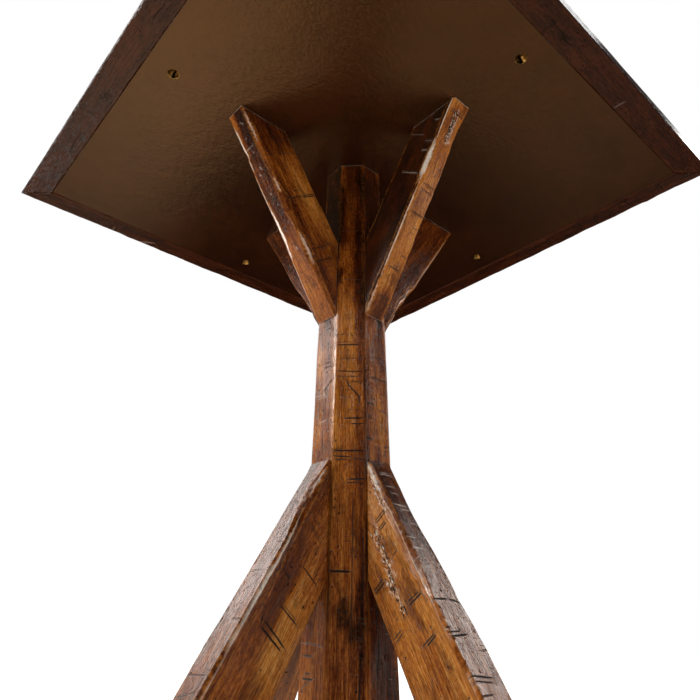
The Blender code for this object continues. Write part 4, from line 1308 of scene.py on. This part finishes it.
def make_floor():
    """A pale floor that fades to white far off. Gloss sees only a glowing pool of it under the table, a
    painted light that the underside reflects.
    """
    bpy.ops.mesh.primitive_plane_add(size=FLOOR_SIDE)
    floor = bpy.context.object
    floor.name = "floor"
    look = Look("pale_floor")
    place = look.node("ShaderNodeNewGeometry").outputs["Position"]
    away = look.node("ShaderNodeVectorMath", {0: place}, operation="LENGTH").outputs["Value"]
    path = look.node("ShaderNodeLightPath").outputs
    far = look.ramp(look.math("DIVIDE", away, FLOOR_FADE), (0.20, 0.0), (0.60, 0.80))
    look.set(Base_Color=FLOOR_COLOUR, Roughness=0.9, Specular_IOR_Level=0.0)
    look.set(Emission_Color=(1.0, 1.0, 1.0, 1.0))
    look.feed(look.shader.inputs["Emission Strength"], look.times(far, path["Is Camera Ray"]))
    aside = look.node("ShaderNodeVectorMath", {0: place, 1: POOL_ASIDE}, operation="DOT_PRODUCT")
    aside = aside.outputs["Value"]
    slant = look.math("DIVIDE", look.math("ABSOLUTE", aside), away)
    sector = look.math("DIVIDE", look.math("SUBTRACT", slant, 0.5), 0.2, clamp=True)
    near = look.math("DIVIDE", look.math("SUBTRACT", POOL_NEAR, away), POOL_NEAR_EDGE, clamp=True)
    lit = look.ramp(look.math("ADD", aside, 0.5), (0.0, 0.33), (0.35, 0.46), (0.65, 0.74), (1.0, 1.0))
    fall = look.math("DIVIDE", away, POOL_REACH)
    fall = look.ramp(fall, (0.40, 1.4), (0.56, 1.0), (0.67, 0.78), (0.9, 0.1))
    cloud = look.ramp(look.noise(place, 13.0, 3.0, 0.6), (0.38, 0.72), (0.62, 1.0))
    glow = look.times(look.math("MAXIMUM", sector, near), look.times(lit, fall))
    glow = look.times(glow, look.times(cloud, POOL_STRENGTH))
    sheen = look.node("ShaderNodeEmission", {"Strength": glow, "Color": POOL_COLOUR}).outputs[0]
    both = look.node("ShaderNodeMixShader", {0: path["Is Glossy Ray"], 1: look.shader.outputs[0], 2: sheen})
    look.tree.links.new(both.outputs[0], look.tree.nodes["Material Output"].inputs[0])
    floor.data.materials.append(look.material)


def make_light():
    """White all round for the camera, nearly dark for the table: softboxes and a high sun light it."""
    scene = bpy.context.scene
    scene.view_settings.view_transform = "Standard"
    world = bpy.data.worlds.new("studio")
    scene.world = world
    world.use_nodes = True
    tree = world.node_tree
    shown = tree.nodes["Background"]
    shown.inputs["Color"].default_value = (1, 1, 1, 1)
    lit = tree.nodes.new("ShaderNodeBackground")
    lit.inputs["Strength"].default_value = ROOM_STRENGTH
    path = tree.nodes.new("ShaderNodeLightPath")
    both = tree.nodes.new("ShaderNodeMixShader")
    for start, end in (
        (path.outputs["Is Camera Ray"], both.inputs[0]), (lit.outputs[0], both.inputs[1]),
        (shown.outputs[0], both.inputs[2]), (both.outputs[0], tree.nodes["World Output"].inputs[0]),
    ):
        tree.links.new(start, end)
    for name, heading, rise, size, power in SOFTBOXES:
        light = bpy.data.lights.new(name, "AREA")
        light.shape = "SQUARE"
        light.size = size
        light.energy = power
        light.color = LIGHT_COLOUR
        turn, lift = math.radians(heading), math.radians(rise)
        way = Vector((math.cos(turn) * math.cos(lift), math.sin(turn) * math.cos(lift), math.sin(lift)))
        facing = way.to_track_quat("Z", "Y").to_matrix().to_4x4()
        place = Matrix.Translation(LIGHT_AIM + way * LIGHT_DISTANCE) @ facing
        put(name, light, place).visible_camera = False
    sun = bpy.data.lights.new("overhead", "SUN")
    sun.energy = SUN_STRENGTH
    sun.angle = SUN_SPREAD
    put("overhead", sun, Matrix.Identity(4)).visible_camera = False


def dress_cad(look, names):
    for name in names:
        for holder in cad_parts[name].material_slots:
            holder.material = look


make_camera()
make_floor()
make_light()
OAK = wood("antiqued_wood", OAK_TONES, 0.55)
STAINED = wood("stained_edging", STAINED_TONES, 0.25)
make_post(OAK)
for kind in LIMBS:
    for side in SIDES:
        make_limb(kind, side, OAK)
make_edging(STAINED)
make_boards(OAK)
make_inserts(brass("old_brass"))
make_glides(nylon("dark_nylon"))
dress_cad(stained_panel("dark_stain"), ("underside_panel",))
dress_cad(plain_wood("pale_beech"), [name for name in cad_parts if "dowel" in name or "key" in name])
